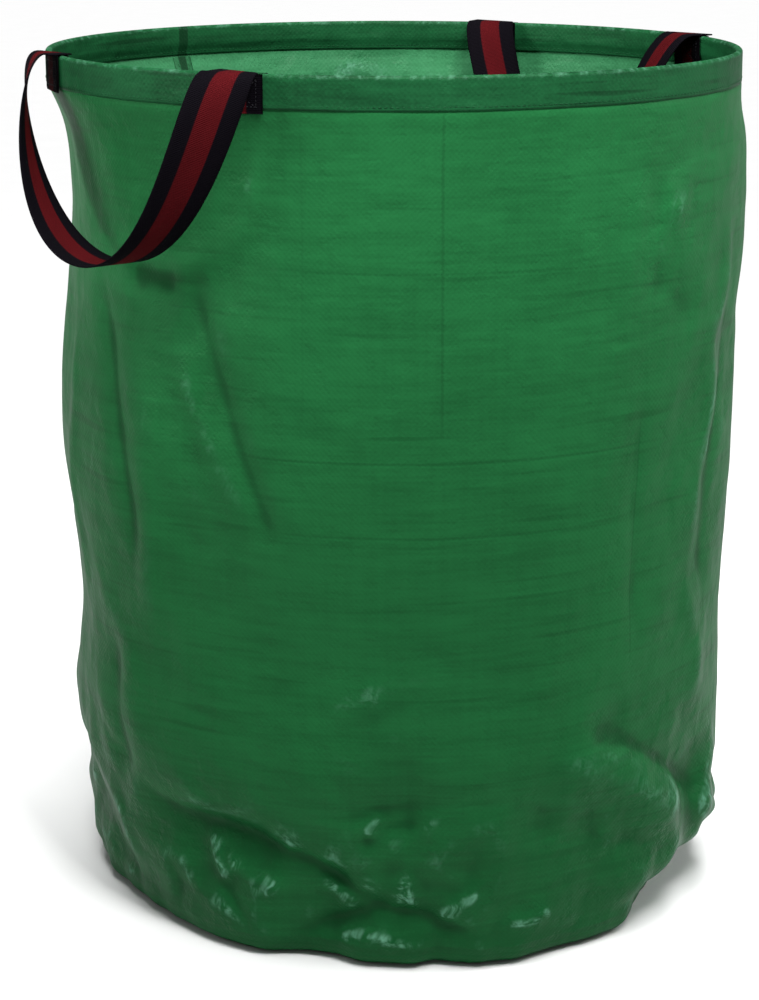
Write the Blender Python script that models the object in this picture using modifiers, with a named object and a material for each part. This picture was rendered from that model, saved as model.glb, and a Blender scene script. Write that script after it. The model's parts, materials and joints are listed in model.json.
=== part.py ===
"""Garden waste bag: a round woven bag with a hoop sewn into its rim and two webbing handles.

Metres, +Z up. The origin is the centre of the base, on the ground. One handle hangs outside the bag
on the -X side, the other hangs inside it on the +X side, and the side seam runs up at +Y.
"""
import math

import bmesh
import bpy
import numpy as np
from mathutils import Vector

# Bag
BAG_HEIGHT = 0.825
RIM_RADIUS = 0.335
FABRIC = 0.0008
GAP = 0.0003
SEGMENTS = 72
RING_SPACING = 0.05
WELD = 0.00001

# Slack of the side wall, from the hem (1) down to the toe (0): share of the way up, how far it
# stands out from the hem all round, and how far it leans to LEAN_ANGLE
WALL_STATIONS = (
    (1.000, 0.0000, 0.0000),
    (0.975, -0.0029, 0.0045),
    (0.877, -0.0064, 0.0130),
    (0.748, -0.0042, 0.0105),
    (0.554, -0.0022, 0.0025),
    (0.334, -0.0094, 0.0050),
    (0.217, -0.0062, 0.0030),
    (0.101, -0.0114, 0.0075),
    (0.000, -0.0179, 0.0080),
)
LEAN_ANGLE = 309.5
# Broad swells and hollows: angle, share of the way up, half angle, half share, depth
WALL_SWELLS = (
    (248.0, 0.05, 20.0, 0.13, 0.014),
    (294.0, 0.004, 24.0, 0.024, -0.033),
    (299.0, 0.18, 21.6, 0.20, -0.0034),
    (167.0, 0.01, 15.0, 0.10, -0.011),
    (195.0, 0.54, 7.0, 0.17, -0.005),
    (100.0, 0.04, 18.0, 0.13, -0.008),
    (20.0, 0.10, 16.0, 0.12, 0.007),
)
TOE_RADIUS = 0.022
TOE_STEPS = 3
TUCK_TOP = 0.058

# Base
SEAM_INSET = 0.072
SEAM_HEIGHT = 0.012
BINDING_LEG = 0.008
THREAD_RADIUS = 0.0003
THREAD_SIDES = 6

# Side seam
SEAM_ANGLE = 90.0
TAPE_WIDTH = 0.024
TAPE_BELOW_HEM = 0.0035
TAPE_ABOVE_TOE = 0.008
SIDE_THREAD_SPACING = 0.014

# Hem and hoop
HEM_HEIGHT = 0.030
HEM_STITCH_UP = 0.0035
HOOP_THICKNESS = 0.0016
HOOP_WIDTH = 0.012
HOOP_JOINT_ANGLE = 105.0
HOOP_JOINT_GAP = 0.0012
SLEEVE_WALL = 0.0006
SLEEVE_LENGTH = 0.058

# Handles
WEBBING_WIDTH = 0.050
WEBBING_THICKNESS = 0.0015
HANDLE_HALF_SPAN = 23.6
TAB_HEIGHT = 0.034
TAB_STEPS = 6
BOX_STITCH_MARGIN = 0.006
BOX_STITCH_WIDTH = 0.0012
BOX_STITCH_THICKNESS = 0.0005
LEG_STEPS = 20
WEBBING_EDGE = 0.0005
FLAT_MARGIN = 0.0015

# Each loop: where it is, which side of the rim it hangs on, and where its lowest point lies from the
# line between its sewn ends (out, towards the left leg, down). Each leg: how far it is pulled out at the
# rim and along at the bottom before it curves, and how late it twists
FRONT_HANDLE = dict(name="handle_front", angle=180.0, side=1, out=0.0617, aside=0.0124, drop=0.173,
                    left=dict(pull_out=0.0400, pull_along=0.1126, twist_power=0.72),
                    right=dict(pull_out=0.0310, pull_along=0.1190, twist_power=1.27))
BACK_HANDLE = dict(name="handle_back", angle=4.3, side=-1, out=0.0264, aside=0.0150, drop=0.200,
                   left=dict(pull_out=0.0370, pull_along=0.0480, twist_power=0.85),
                   right=dict(pull_out=0.0420, pull_along=0.0480, twist_power=2.60))

GREEN_OUTER = (0.020, 0.150, 0.050)
GREEN_HEM = (0.014, 0.115, 0.040)
GREEN_TAPE = (0.030, 0.190, 0.070)
BLACK_WEBBING = (0.007, 0.006, 0.008)
DARK_PLASTIC = (0.020, 0.022, 0.024)
BLACK_THREAD = (0.010, 0.010, 0.011)

# Radii through the hem, from the outside in
HEM_LEAF_IN = RIM_RADIUS - FABRIC
WALL_TOP_RADIUS = HEM_LEAF_IN - GAP
SLEEVE_OUT = WALL_TOP_RADIUS - FABRIC - GAP
HOOP_OUT = SLEEVE_OUT - SLEEVE_WALL - GAP
HOOP_IN = HOOP_OUT - HOOP_THICKNESS
SLEEVE_IN = HOOP_IN - GAP - SLEEVE_WALL
INNER_LEAF_OUT = SLEEVE_IN - GAP
HEM_INNER_RADIUS = INNER_LEAF_OUT - FABRIC
HEM_MID_RADIUS = (RIM_RADIUS + HEM_INNER_RADIUS) / 2
HINGE_LIFT = GAP + WEBBING_THICKNESS / 2
HOOP_TOP = -(FABRIC + GAP + SLEEVE_WALL + GAP)
STEP_ANGLE = 360.0 / SEGMENTS

# Places down the wall
HEM_FOOT = BAG_HEIGHT - HEM_HEIGHT - GAP
TAPE_TOP = HEM_FOOT - TAPE_BELOW_HEM
TAPE_FOOT = TOE_RADIUS + TAPE_ABOVE_TOE
SEAM_RADIUS = WALL_TOP_RADIUS - SEAM_INSET

# Base binding, folded over the raw edges of the wall and the base
BINDING_OUTER = SEAM_RADIUS + FABRIC + GAP + FABRIC
BINDING_INNER = SEAM_RADIUS - GAP - FABRIC - GAP - FABRIC
BINDING_TOP = SEAM_HEIGHT + GAP + FABRIC


def clear_scene():
    for item in list(bpy.data.objects):
        bpy.data.objects.remove(item, do_unlink=True)


def new_collection(name):
    group = bpy.data.collections.new(name)
    bpy.context.scene.collection.children.link(group)
    return group


def material(name, colour, roughness, metallic=0.0):
    mat = bpy.data.materials.new(name)
    mat.use_nodes = True
    shader = mat.node_tree.nodes["Principled BSDF"]
    shader.inputs["Base Color"].default_value = (*colour, 1.0)
    shader.inputs["Roughness"].default_value = roughness
    shader.inputs["Metallic"].default_value = metallic
    return mat


def place(obj, mat, group, parent=None, location=(0.0, 0.0, 0.0), turn=0.0):
    """Link an object, dress it and set it on its parent."""
    for holder in list(obj.users_collection):
        holder.objects.unlink(obj)
    group.objects.link(obj)
    obj.data.materials.clear()
    obj.data.materials.append(mat)
    obj.parent = parent
    obj.location = location
    obj.rotation_euler = (0.0, 0.0, turn)
    return obj


def object_from_bmesh(name, bm):
    mesh = bpy.data.meshes.new(name)
    bm.to_mesh(mesh)
    bm.free()
    return bpy.data.objects.new(name, mesh)


def polar(radius, degrees, height):
    angle = math.radians(degrees)
    return Vector((radius * math.cos(angle), radius * math.sin(angle), height))


def loft(name, sections):
    """Closed solid through like-sized closed sections, capped at both ends.

    Its sides are triangles. Opposite sides are split the same way, so that a flat strip that twists
    keeps its thickness.
    """
    bm = bmesh.new()
    rings = [[bm.verts.new(point) for point in section] for section in sections]
    count = len(rings[0])
    for low, high in zip(rings, rings[1:]):
        for i in range(count):
            j = (i + 1) % count
            if 2 * i < count:
                bm.faces.new((low[i], low[j], high[j]))
                bm.faces.new((low[i], high[j], high[i]))
            else:
                bm.faces.new((low[i], low[j], high[i]))
                bm.faces.new((low[j], high[j], high[i]))
    bm.faces.new(list(reversed(rings[0])))
    bm.faces.new(rings[-1])
    bmesh.ops.recalc_face_normals(bm, faces=bm.faces)
    return object_from_bmesh(name, bm)


def sheet(name, rows, closed):
    """Open surface through rows of points; a closed one wraps round."""
    bm = bmesh.new()
    grid = [[bm.verts.new(point) for point in row] for row in rows]
    count = len(grid[0])
    for high, low in zip(grid, grid[1:]):
        for i in range(count if closed else count - 1):
            j = (i + 1) % count
            bm.faces.new((high[i], low[i], low[j], high[j]))
    return object_from_bmesh(name, bm)


def solidify(obj, thickness):
    """Thickness behind the surface."""
    mod = obj.modifiers.new("thickness", "SOLIDIFY")
    mod.thickness = thickness
    mod.offset = -1.0
    mod.use_even_offset = True


def turned(name, outline, closed=True):
    """Turn an outline in the XZ plane about Z; it starts by running down its outer side."""
    bm = bmesh.new()
    points = [bm.verts.new((radius, 0.0, height)) for radius, height in outline]
    for a, b in zip(points, points[1:]):
        bm.edges.new((a, b))
    if closed:
        bm.edges.new((points[-1], points[0]))
    obj = object_from_bmesh(name, bm)
    mod = obj.modifiers.new("turn", "SCREW")
    mod.axis = "Z"
    mod.angle = 2.0 * math.pi
    mod.steps = SEGMENTS
    mod.render_steps = SEGMENTS
    mod.use_merge_vertices = True
    mod.merge_threshold = WELD
    return obj


def channel_outline(outer, outer_leaf_in, inner_leaf_out, inner, top, bottom):
    """An upside-down U of cloth, folded over what stands between its two leaves."""
    under = top - FABRIC
    return [(outer, top), (outer, bottom), (outer_leaf_in, bottom), (outer_leaf_in, under),
            (inner_leaf_out, under), (inner_leaf_out, bottom), (inner, bottom), (inner, top)]


def thread_ring(name, radius, height):
    bpy.ops.mesh.primitive_torus_add(major_segments=SEGMENTS, minor_segments=THREAD_SIDES,
                                     major_radius=radius, minor_radius=THREAD_RADIUS)
    obj = bpy.context.object
    obj.name = name
    for vertex in obj.data.vertices:
        vertex.co.z += height
    return obj


def facet_share(degrees):
    """How far a faceted ring's surface lies from the axis, as a share of its corner radius."""
    half = math.radians(STEP_ANGLE / 2)
    into = math.radians(degrees % STEP_ANGLE)
    return math.cos(half) / math.cos(into - half)


def hermite(stations, place_up):
    """Smooth curve through stations sorted from the top down; returns their values at one place."""
    places = np.array([row[0] for row in stations])
    values = np.array([row[1:] for row in stations])
    slopes = np.gradient(values, places, axis=0)
    i = int(np.clip(np.searchsorted(-places, -place_up) - 1, 0, len(places) - 2))
    span = places[i + 1] - places[i]
    t = (place_up - places[i]) / span
    return ((1 + 2 * t) * (1 - t) ** 2 * values[i] + t * (1 - t) ** 2 * span * slopes[i]
            + t * t * (3 - 2 * t) * values[i + 1] + t * t * (t - 1) * span * slopes[i + 1])


def wall_radius(degrees, height):
    """Outside of the side wall."""
    if height >= HEM_FOOT:
        return WALL_TOP_RADIUS
    share = (height - TOE_RADIUS) / (HEM_FOOT - TOE_RADIUS)
    slack, lean = hermite(WALL_STATIONS, share)
    radius = WALL_TOP_RADIUS + slack + lean * math.cos(math.radians(degrees - LEAN_ANGLE))
    for angle, level, half_angle, half_share, depth in WALL_SWELLS:
        turn = (degrees - angle + 180.0) % 360.0 - 180.0
        radius += depth * math.exp(-(turn / half_angle) ** 2 - ((share - level) / half_share) ** 2)
    return radius


def wall_heights():
    """Ring heights from the wall's top edge down to where the toe begins to turn in."""
    slack = [TOE_RADIUS + row[0] * (HEM_FOOT - TOE_RADIUS) for row in WALL_STATIONS]
    marks = [HEM_FOOT, TAPE_TOP] + slack[1:-1] + [TUCK_TOP, TAPE_FOOT, TOE_RADIUS]
    levels = [BAG_HEIGHT - FABRIC - GAP, HEM_FOOT]
    for high, low in zip(marks, marks[1:]):
        pieces = max(1, round((high - low) / RING_SPACING))
        levels += [high + (low - high) * k / pieces for k in range(1, pieces + 1)]
    return levels


def make_side_wall(mat, group):
    """One sheet from inside the hem down to the base seam, where its edge turns up."""
    angles = [i * STEP_ANGLE for i in range(SEGMENTS)]
    rows = [[polar(wall_radius(a, h), a, h) for a in angles] for h in wall_heights()]
    for step in range(1, TOE_STEPS + 1):
        swing = step / TOE_STEPS * math.pi / 2
        inward = TOE_RADIUS * (1 - math.cos(swing))
        height = GAP + (TOE_RADIUS - GAP) * (1 - math.sin(swing))
        rows.append([polar(wall_radius(a, TOE_RADIUS) - inward, a, height) for a in angles])
    rows.append([polar(SEAM_RADIUS, a, GAP) for a in angles])
    rows.append([polar(SEAM_RADIUS, a, SEAM_HEIGHT) for a in angles])
    obj = sheet("side_wall", rows, closed=True)
    solidify(obj, FABRIC)
    return place(obj, mat, group)


def make_base_disc(mat, group):
    """Round base with its edge turned up inside the wall's turned-up edge."""
    edge = SEAM_RADIUS - GAP
    outline = [(0.0, FABRIC), (edge - FABRIC, FABRIC), (edge - FABRIC, SEAM_HEIGHT), (edge, SEAM_HEIGHT),
               (edge, 0.0), (0.0, 0.0)]
    return place(turned("base_disc", outline, closed=False), mat, group)


def make_base_binding(mat, group):
    """Tape folded over the two raw edges of the base seam."""
    outline = channel_outline(BINDING_OUTER, BINDING_OUTER - FABRIC, BINDING_INNER + FABRIC, BINDING_INNER,
                              BINDING_TOP, BINDING_TOP - BINDING_LEG)
    return place(turned("base_seam_binding", outline), mat, group)


def seam_radius(degrees, height, depth):
    """Radius of a line inside the wall, at a depth behind the flat facet that it lies on."""
    first = math.floor(degrees / STEP_ANGLE) * STEP_ANGLE
    before, after = wall_radius(first, height), wall_radius(first + STEP_ANGLE, height)
    into, rest = math.radians(degrees - first), math.radians(first + STEP_ANGLE - degrees)
    facet = before * after * math.sin(math.radians(STEP_ANGLE))
    return facet / (before * math.sin(into) + after * math.sin(rest)) - depth


def seam_strip(name, middle, width, depth, thickness):
    """Narrow strip that runs up the inside of the wall."""
    half = math.degrees(width / 2 / RIM_RADIUS)
    heights = [h for h in wall_heights() if TAPE_FOOT - GAP < h < TAPE_TOP + GAP]
    sections = []
    for height in heights:
        corners = [(middle - half, depth), (middle + half, depth),
                   (middle + half, depth + thickness), (middle - half, depth + thickness)]
        sections.append([polar(seam_radius(a, height, d), a, height) for a, d in corners])
    return loft(name, sections)


def make_side_seam(tape_mat, thread_mat, group):
    """Tape over the side seam and the two rows of stitches that hold it."""
    behind = FABRIC + GAP + GAP
    place(seam_strip("side_seam_tape", SEAM_ANGLE, TAPE_WIDTH, behind, FABRIC), tape_mat, group)
    spread = math.degrees(SIDE_THREAD_SPACING / 2 / RIM_RADIUS)
    for name, turn in (("side_seam_thread_left", -spread), ("side_seam_thread_right", spread)):
        depth = behind + FABRIC + GAP + GAP
        strip = seam_strip(name, SEAM_ANGLE + turn, 2 * THREAD_RADIUS, depth, 2 * THREAD_RADIUS)
        place(strip, thread_mat, group)


def make_hem(mat, group, rim):
    outline = channel_outline(RIM_RADIUS, HEM_LEAF_IN, INNER_LEAF_OUT, HEM_INNER_RADIUS, 0.0, -HEM_HEIGHT)
    return place(turned("hem_band", outline), mat, group, rim)


def arc_angles(start, stop):
    """Start, the ring corners between, and stop, in degrees."""
    first = math.floor(start / STEP_ANGLE) + 1
    last = math.ceil(stop / STEP_ANGLE) - 1
    return [start] + [k * STEP_ANGLE for k in range(first, last + 1)] + [stop]


def arc_sections(angles, outer, inner, top, bottom):
    """Upright sections of a flat strip that follows the facets of the rings round it."""
    corners = [(outer, top), (outer, bottom), (inner, bottom), (inner, top)]
    return [[polar(r * facet_share(a) if a % STEP_ANGLE else r, a, z) for r, z in corners] for a in angles]


def make_hoop(mat, group, rim):
    """Springy flat strip, bent round until its ends nearly meet."""
    half_gap = math.degrees(HOOP_JOINT_GAP / 2 / HOOP_OUT)
    angles = arc_angles(HOOP_JOINT_ANGLE + half_gap, HOOP_JOINT_ANGLE + 360.0 - half_gap)
    obj = loft("rim_hoop", arc_sections(angles, HOOP_OUT, HOOP_IN, HOOP_TOP, HOOP_TOP - HOOP_WIDTH))
    return place(obj, mat, group, rim)


def make_hoop_sleeve(mat, group, rim):
    """Flat tube that the two ends of the hoop push into."""
    half = math.degrees(SLEEVE_LENGTH / 2 / HOOP_OUT)
    angles = arc_angles(HOOP_JOINT_ANGLE - half, HOOP_JOINT_ANGLE + half)
    top = HOOP_TOP + GAP + SLEEVE_WALL
    bottom = HOOP_TOP - HOOP_WIDTH - GAP - SLEEVE_WALL
    rows = arc_sections(angles, SLEEVE_OUT, SLEEVE_IN, top, bottom)
    obj = sheet("hoop_joint_sleeve", rows, closed=True)
    obj.data.flip_normals()
    solidify(obj, SLEEVE_WALL)
    return place(obj, mat, group, rim)


def tab_radius(outside):
    """Face of a tab that lies over the hem and its row of stitches."""
    layer = GAP + 2 * THREAD_RADIUS + GAP
    if outside:
        return RIM_RADIUS + layer
    return HEM_INNER_RADIUS * math.cos(math.radians(STEP_ANGLE / 2)) - layer


def tab_face(outside):
    """The other face of a tab."""
    return tab_radius(outside) + (WEBBING_THICKNESS if outside else -WEBBING_THICKNESS)


def make_tab(name, angle, outside, mat, group, rim):
    """Square of webbing sewn flat on one face of the hem."""
    lie, face = tab_radius(outside), tab_face(outside)
    half = math.degrees(WEBBING_WIDTH / 2 / lie)
    sections = []
    for k in range(TAB_STEPS + 1):
        turn = angle - half + 2 * half * k / TAB_STEPS
        corners = [(lie, 0.0), (lie, -TAB_HEIGHT), (face, -TAB_HEIGHT), (face, 0.0)]
        sections.append([polar(r, turn, z) for r, z in corners])
    return place(loft(name, sections), mat, group, rim)


def add_outline(curve, points):
    line = curve.splines.new("POLY")
    line.points.add(len(points) - 1)
    for spot, (x, y) in zip(line.points, points):
        spot.co = (x, y, 0.0, 1.0)
    line.use_cyclic_u = True


def box_stitch_outlines(width, height, line):
    """A frame with a cross in it: the outer edge and the four holes between the stitch lines."""
    x, y = width / 2, height / 2
    outline = [[(-x, -y), (x, -y), (x, y), (-x, y)]]
    slope = math.hypot(width, height)
    off_x, off_y = line * slope / height / 2, line * slope / width / 2
    for sx, sy in ((1, 0), (-1, 0), (0, 1), (0, -1)):
        if sx:
            edge = x - line
            reach = (edge - off_x) * height / width
            outline.append([(sx * off_x, 0.0), (sx * edge, -reach), (sx * edge, reach)])
        else:
            edge = y - line
            reach = (edge - off_y) * width / height
            outline.append([(0.0, sy * off_y), (-reach, sy * edge), (reach, sy * edge)])
    return outline


def make_box_stitch(name, angle, mat, group, rim):
    """Crossed box of stitches on an outer tab, bent to the round of the hem."""
    curve = bpy.data.curves.new(name, "CURVE")
    curve.dimensions = "2D"
    curve.fill_mode = "BOTH"
    curve.extrude = BOX_STITCH_THICKNESS / 2
    width = WEBBING_WIDTH - 2 * BOX_STITCH_MARGIN
    height = TAB_HEIGHT - 2 * BOX_STITCH_MARGIN
    for points in box_stitch_outlines(width, height, BOX_STITCH_WIDTH):
        add_outline(curve, points)
    flat = bpy.data.objects.new(name + "_outline", curve)
    bpy.context.scene.collection.objects.link(flat)
    bpy.context.view_layer.update()
    mesh = bpy.data.meshes.new_from_object(flat.evaluated_get(bpy.context.evaluated_depsgraph_get()))
    bpy.data.objects.remove(flat, do_unlink=True)
    bm = bmesh.new()
    bm.from_mesh(mesh)
    bmesh.ops.remove_doubles(bm, verts=bm.verts, dist=WELD)
    face = tab_face(True) + GAP + GAP + BOX_STITCH_THICKNESS / 2
    for vertex in bm.verts:
        turn = angle + math.degrees(vertex.co.x / face)
        vertex.co = polar(face + vertex.co.z, turn, vertex.co.y - TAB_HEIGHT / 2)
    obj = object_from_bmesh(name, bm)
    return place(obj, mat, group, rim)


def leg_path(handle, end, way):
    """Points down one leg of a loop in its hinge frame (out, along, up), each with its width direction.

    The strap leaves the hem flat, long enough for its end to lie along the hinge line, and falls in one
    curve to the lowest point of the loop. Its width follows the rim at the top and turns until it stands
    square to the wall at the bottom.
    """
    leg = handle[end]
    side = handle["side"]
    spread = math.radians(HANDLE_HALF_SPAN)
    start = Vector((0.0, HEM_MID_RADIUS * math.sin(spread), 0.0))
    leg_out = Vector((math.cos(spread), side * math.sin(spread), 0.0))
    near = start + leg_out * (WEBBING_WIDTH / 2 * math.tan(spread) + FLAT_MARGIN)
    low = Vector((handle["out"], way * handle["aside"], -handle["drop"]))
    first_pull = near + leg_out * leg["pull_out"]
    last_pull = low + Vector((0.0, leg["pull_along"], 0.0))
    path = [(start, Vector((0.0, 1.0, 0.0)))]
    for k in range(LEG_STEPS + 1):
        t = k / LEG_STEPS
        point = (near * (1 - t) ** 3 + first_pull * 3 * t * (1 - t) ** 2
                 + last_pull * 3 * t * t * (1 - t) + low * t ** 3)
        turn = math.radians(90.0 - HANDLE_HALF_SPAN) * (1 - t ** leg["twist_power"])
        path.append((point, Vector((-side * math.cos(turn), math.sin(turn), 0.0))))
    return path


def loop_path(handle):
    """The whole loop: down its left leg and up its right one."""
    down = leg_path(handle, "left", 1)
    up = leg_path(handle, "right", -1)
    return down + [(Vector((p.x, -p.y, p.z)), Vector((w.x, -w.y, w.z))) for p, w in reversed(up[:-1])]


def webbing_section(point, width, normal):
    """Flat six-sided section with thinned edges."""
    half, thick = width * (WEBBING_WIDTH / 2), normal * (WEBBING_THICKNESS / 2)
    edge = width * (WEBBING_WIDTH / 2 - WEBBING_EDGE)
    return [point + edge + thick, point + half, point + edge - thick,
            point - edge - thick, point - half, point - edge + thick]


def make_loop(handle, mat, group, rim):
    """A handle's free loop; its origin is on the line between its two ends."""
    path = loop_path(handle)
    sections = []
    last_width = path[0][1]
    for i, (point, width) in enumerate(path):
        ahead, behind = path[min(i + 1, len(path) - 1)][0], path[max(i - 1, 0)][0]
        travel = (ahead - behind).normalized()
        if 1 < i < len(path) - 2:
            width = (width - travel * width.dot(travel)).normalized()
        if width.dot(last_width) < 0:
            width = -width
        last_width = width
        sections.append(webbing_section(point, width, width.cross(travel).normalized()))
    for section in sections:
        for corner in section:
            corner.x *= handle["side"]
    obj = loft(handle["name"] + "_loop", sections)
    turn = math.radians(handle["angle"])
    reach = HEM_MID_RADIUS * math.cos(math.radians(HANDLE_HALF_SPAN))
    spot = (reach * math.cos(turn), reach * math.sin(turn), HINGE_LIFT)
    return place(obj, mat, group, rim, spot, turn)


def make_handle(handle, webbing, thread, group, rim):
    make_loop(handle, webbing, group, rim)
    for end, turn in (("right", -HANDLE_HALF_SPAN), ("left", HANDLE_HALF_SPAN)):
        angle = handle["angle"] + turn
        for layer, outside in (("outer", True), ("inner", False)):
            make_tab(f"{handle['name']}_{layer}_tab_{end}", angle, outside, webbing, group, rim)
        make_box_stitch(f"{handle['name']}_box_stitch_{end}", angle, thread, group, rim)


def main():
    clear_scene()
    group = new_collection("garden_waste_bag")
    outer = material("woven_green", GREEN_OUTER, 0.45)
    base = material("woven_green_base", GREEN_OUTER, 0.50)
    hem = material("woven_green_hem", GREEN_HEM, 0.45)
    tape = material("seam_tape", GREEN_TAPE, 0.60)
    webbing = material("striped_webbing", BLACK_WEBBING, 0.75)
    plastic = material("hoop_plastic", DARK_PLASTIC, 0.40)
    sleeve = material("sleeve_plastic", DARK_PLASTIC, 0.50)
    thread = material("sewing_thread", BLACK_THREAD, 0.80)

    make_side_wall(outer, group)
    make_base_disc(base, group)
    make_base_binding(tape, group)
    ring = thread_ring("base_seam_thread", BINDING_INNER - GAP - THREAD_RADIUS, BINDING_TOP - BINDING_LEG / 2)
    place(ring, thread, group)
    make_side_seam(tape, thread, group)

    rim = bpy.data.objects.new("rim_slide", None)
    group.objects.link(rim)
    rim.location = (0.0, 0.0, BAG_HEIGHT)
    make_hem(hem, group, rim)
    make_hoop(plastic, group, rim)
    make_hoop_sleeve(sleeve, group, rim)
    stitch_height = -HEM_HEIGHT + HEM_STITCH_UP
    outer_ring = thread_ring("hem_thread_outer", RIM_RADIUS + GAP + THREAD_RADIUS, stitch_height)
    inner_radius = HEM_INNER_RADIUS - GAP - THREAD_RADIUS
    inner_ring = thread_ring("hem_thread_inner", inner_radius, stitch_height)
    place(outer_ring, thread, group, rim)
    place(inner_ring, thread, group, rim)
    for handle in (FRONT_HANDLE, BACK_HANDLE):
        make_handle(handle, webbing, thread, group, rim)


main()
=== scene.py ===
"""Looks of a round green garden waste bag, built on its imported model. Metres, +Z up.

The bag stands on the origin. One handle hangs outside it at -X, the other inside it near +X, and the
side seam runs up at +Y. Angles round the bag are in degrees from +X towards +Y.
"""

import json
import math

import bmesh
import bpy
import numpy as np
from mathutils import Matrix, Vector
from mathutils.geometry import delaunay_2d_cdt


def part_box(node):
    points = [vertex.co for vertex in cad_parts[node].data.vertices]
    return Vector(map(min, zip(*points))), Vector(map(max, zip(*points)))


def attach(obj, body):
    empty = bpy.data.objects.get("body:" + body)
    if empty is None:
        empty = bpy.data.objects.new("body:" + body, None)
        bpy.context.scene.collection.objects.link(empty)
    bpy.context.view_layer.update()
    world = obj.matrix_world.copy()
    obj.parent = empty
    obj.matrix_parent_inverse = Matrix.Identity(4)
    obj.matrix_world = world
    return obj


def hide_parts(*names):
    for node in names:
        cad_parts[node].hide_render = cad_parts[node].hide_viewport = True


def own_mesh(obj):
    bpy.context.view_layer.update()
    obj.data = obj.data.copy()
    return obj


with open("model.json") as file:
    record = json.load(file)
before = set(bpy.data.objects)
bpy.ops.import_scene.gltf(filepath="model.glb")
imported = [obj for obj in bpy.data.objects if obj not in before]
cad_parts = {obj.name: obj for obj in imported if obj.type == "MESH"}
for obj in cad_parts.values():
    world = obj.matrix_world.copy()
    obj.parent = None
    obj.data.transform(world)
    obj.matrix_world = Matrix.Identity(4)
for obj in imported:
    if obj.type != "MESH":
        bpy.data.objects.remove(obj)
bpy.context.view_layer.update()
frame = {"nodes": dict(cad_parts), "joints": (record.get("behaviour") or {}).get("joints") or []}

# Sizes read from the frame
HEM_LOW, HEM_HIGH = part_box("hem_band")
BINDING_LOW, BINDING_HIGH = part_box("base_seam_binding")
TAPE_LOW, TAPE_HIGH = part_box("side_seam_tape")
TAB_LOW, TAB_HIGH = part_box("handle_front_outer_tab_left")
RIM_RADIUS = HEM_HIGH.x
BAG_HEIGHT = HEM_HIGH.z
TAB_HEIGHT = TAB_HIGH.z - TAB_LOW.z
TAPE_WIDTH = TAPE_HIGH.x - TAPE_LOW.x
COLLAPSE = next(joint for joint in frame["joints"] if joint["name"] == "collapse")

# Cloth of the bag, the gap between its layers, and how far stitches stand off it
CLOTH = 0.0008
GAP = 0.0003
CLEAR = 0.0001
CIRCUMFERENCE = 2 * math.pi * RIM_RADIUS

# The hem. Stitches draw its inner leaf out to the wall, over a short run above its foot
HEM_LEAF = 0.0008
WALL_TOP_RADIUS = RIM_RADIUS - HEM_LEAF - GAP
HEM_INNER_RADIUS = 0.3283
HEM_MID_RADIUS = (RIM_RADIUS + HEM_INNER_RADIUS) / 2
HEM_PINCH = 0.0033
PINCH_RUN = 0.013
HEM_FOOT = HEM_LOW.z - GAP
ARC_STEPS = 10
HEM_RIPPLE = dict(ripple=0.0009, ripple_size=20.0, still_above=BAG_HEIGHT - 0.010, ripple_run=0.018)
NO_RIPPLE = dict(ripple=0.0, ripple_size=30.0, still_above=0.0, ripple_run=1.0)

# The wall reaches only just into the hem, so it stays clear of the hem and hoop as the bag folds down
WALL_TOP = HEM_FOOT + 0.0015
COLLAPSED_SHARE = (HEM_FOOT - COLLAPSE["range_m"][1]) / HEM_FOOT
TOE_RADIUS = 0.022
TOE_CLEARANCE = 0.002
# Cloth between the rows under the toe, and up the seam
UNDER_STEP = 0.015
SEAM_STEP = 0.006

# Seam of the base, and the side seam with its tape
SEAM_RADIUS = 0.2619
SEAM_HEIGHT = 0.012
BINDING_INNER_RADIUS = 2 * (SEAM_RADIUS - GAP / 2) - BINDING_HIGH.x
SEAM_ANGLE = 90.0
TAPE_TOP = HEM_FOOT - 0.0012
TAPE_CLOTH = CLOTH * 0.7
TAPE_CROWN = 0.0006
TAPE_STEPS = 6
SIDE_ROW_SPACING = 0.014

# Creased base
BASE_RINGS = 44
BASE_COLUMNS = 144
BASE_CREASES = 26
BASE_CREASE_HEIGHT = 0.0030
BASE_CALM_EDGE = 0.02

# Slack of the side wall, from the hem (1) down to the toe (0): share of the way up, how far it
# stands out from the hem all round, and how far it leans to LEAN_ANGLE
WALL_STATIONS = (
    (1.000, 0.0000, 0.0000),
    (0.975, -0.0029, 0.0045),
    (0.877, -0.0064, 0.0130),
    (0.748, -0.0042, 0.0105),
    (0.554, -0.0022, 0.0025),
    (0.334, -0.0094, 0.0050),
    (0.217, -0.0062, 0.0030),
    (0.101, -0.0114, 0.0075),
    (0.000, -0.0179, 0.0080),
)
LEAN_ANGLE = 309.5
# Broad swells and hollows: angle, share of the way up, half angle, half share, depth
WALL_SWELLS = (
    (248.0, 0.05, 20.0, 0.13, 0.014),
    (294.0, 0.004, 24.0, 0.024, -0.033),
    (299.0, 0.18, 21.6, 0.20, -0.0034),
    (167.0, 0.01, 15.0, 0.10, -0.011),
    (195.0, 0.54, 7.0, 0.17, -0.005),
    (100.0, 0.04, 18.0, 0.13, -0.008),
    (20.0, 0.10, 16.0, 0.12, 0.007),
)

# Webbing of the handles
WEBBING_WIDTH = 0.050
WEBBING_THICKNESS = 0.0015
RED_HALF = 0.0100
RIB_PITCH = 0.0015
TWILL_PITCH = 0.0022
HANDLE_HALF_SPAN = 23.6
FLAT_MARGIN = 0.0015
HINGE_LIFT = GAP + WEBBING_THICKNESS / 2
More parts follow.
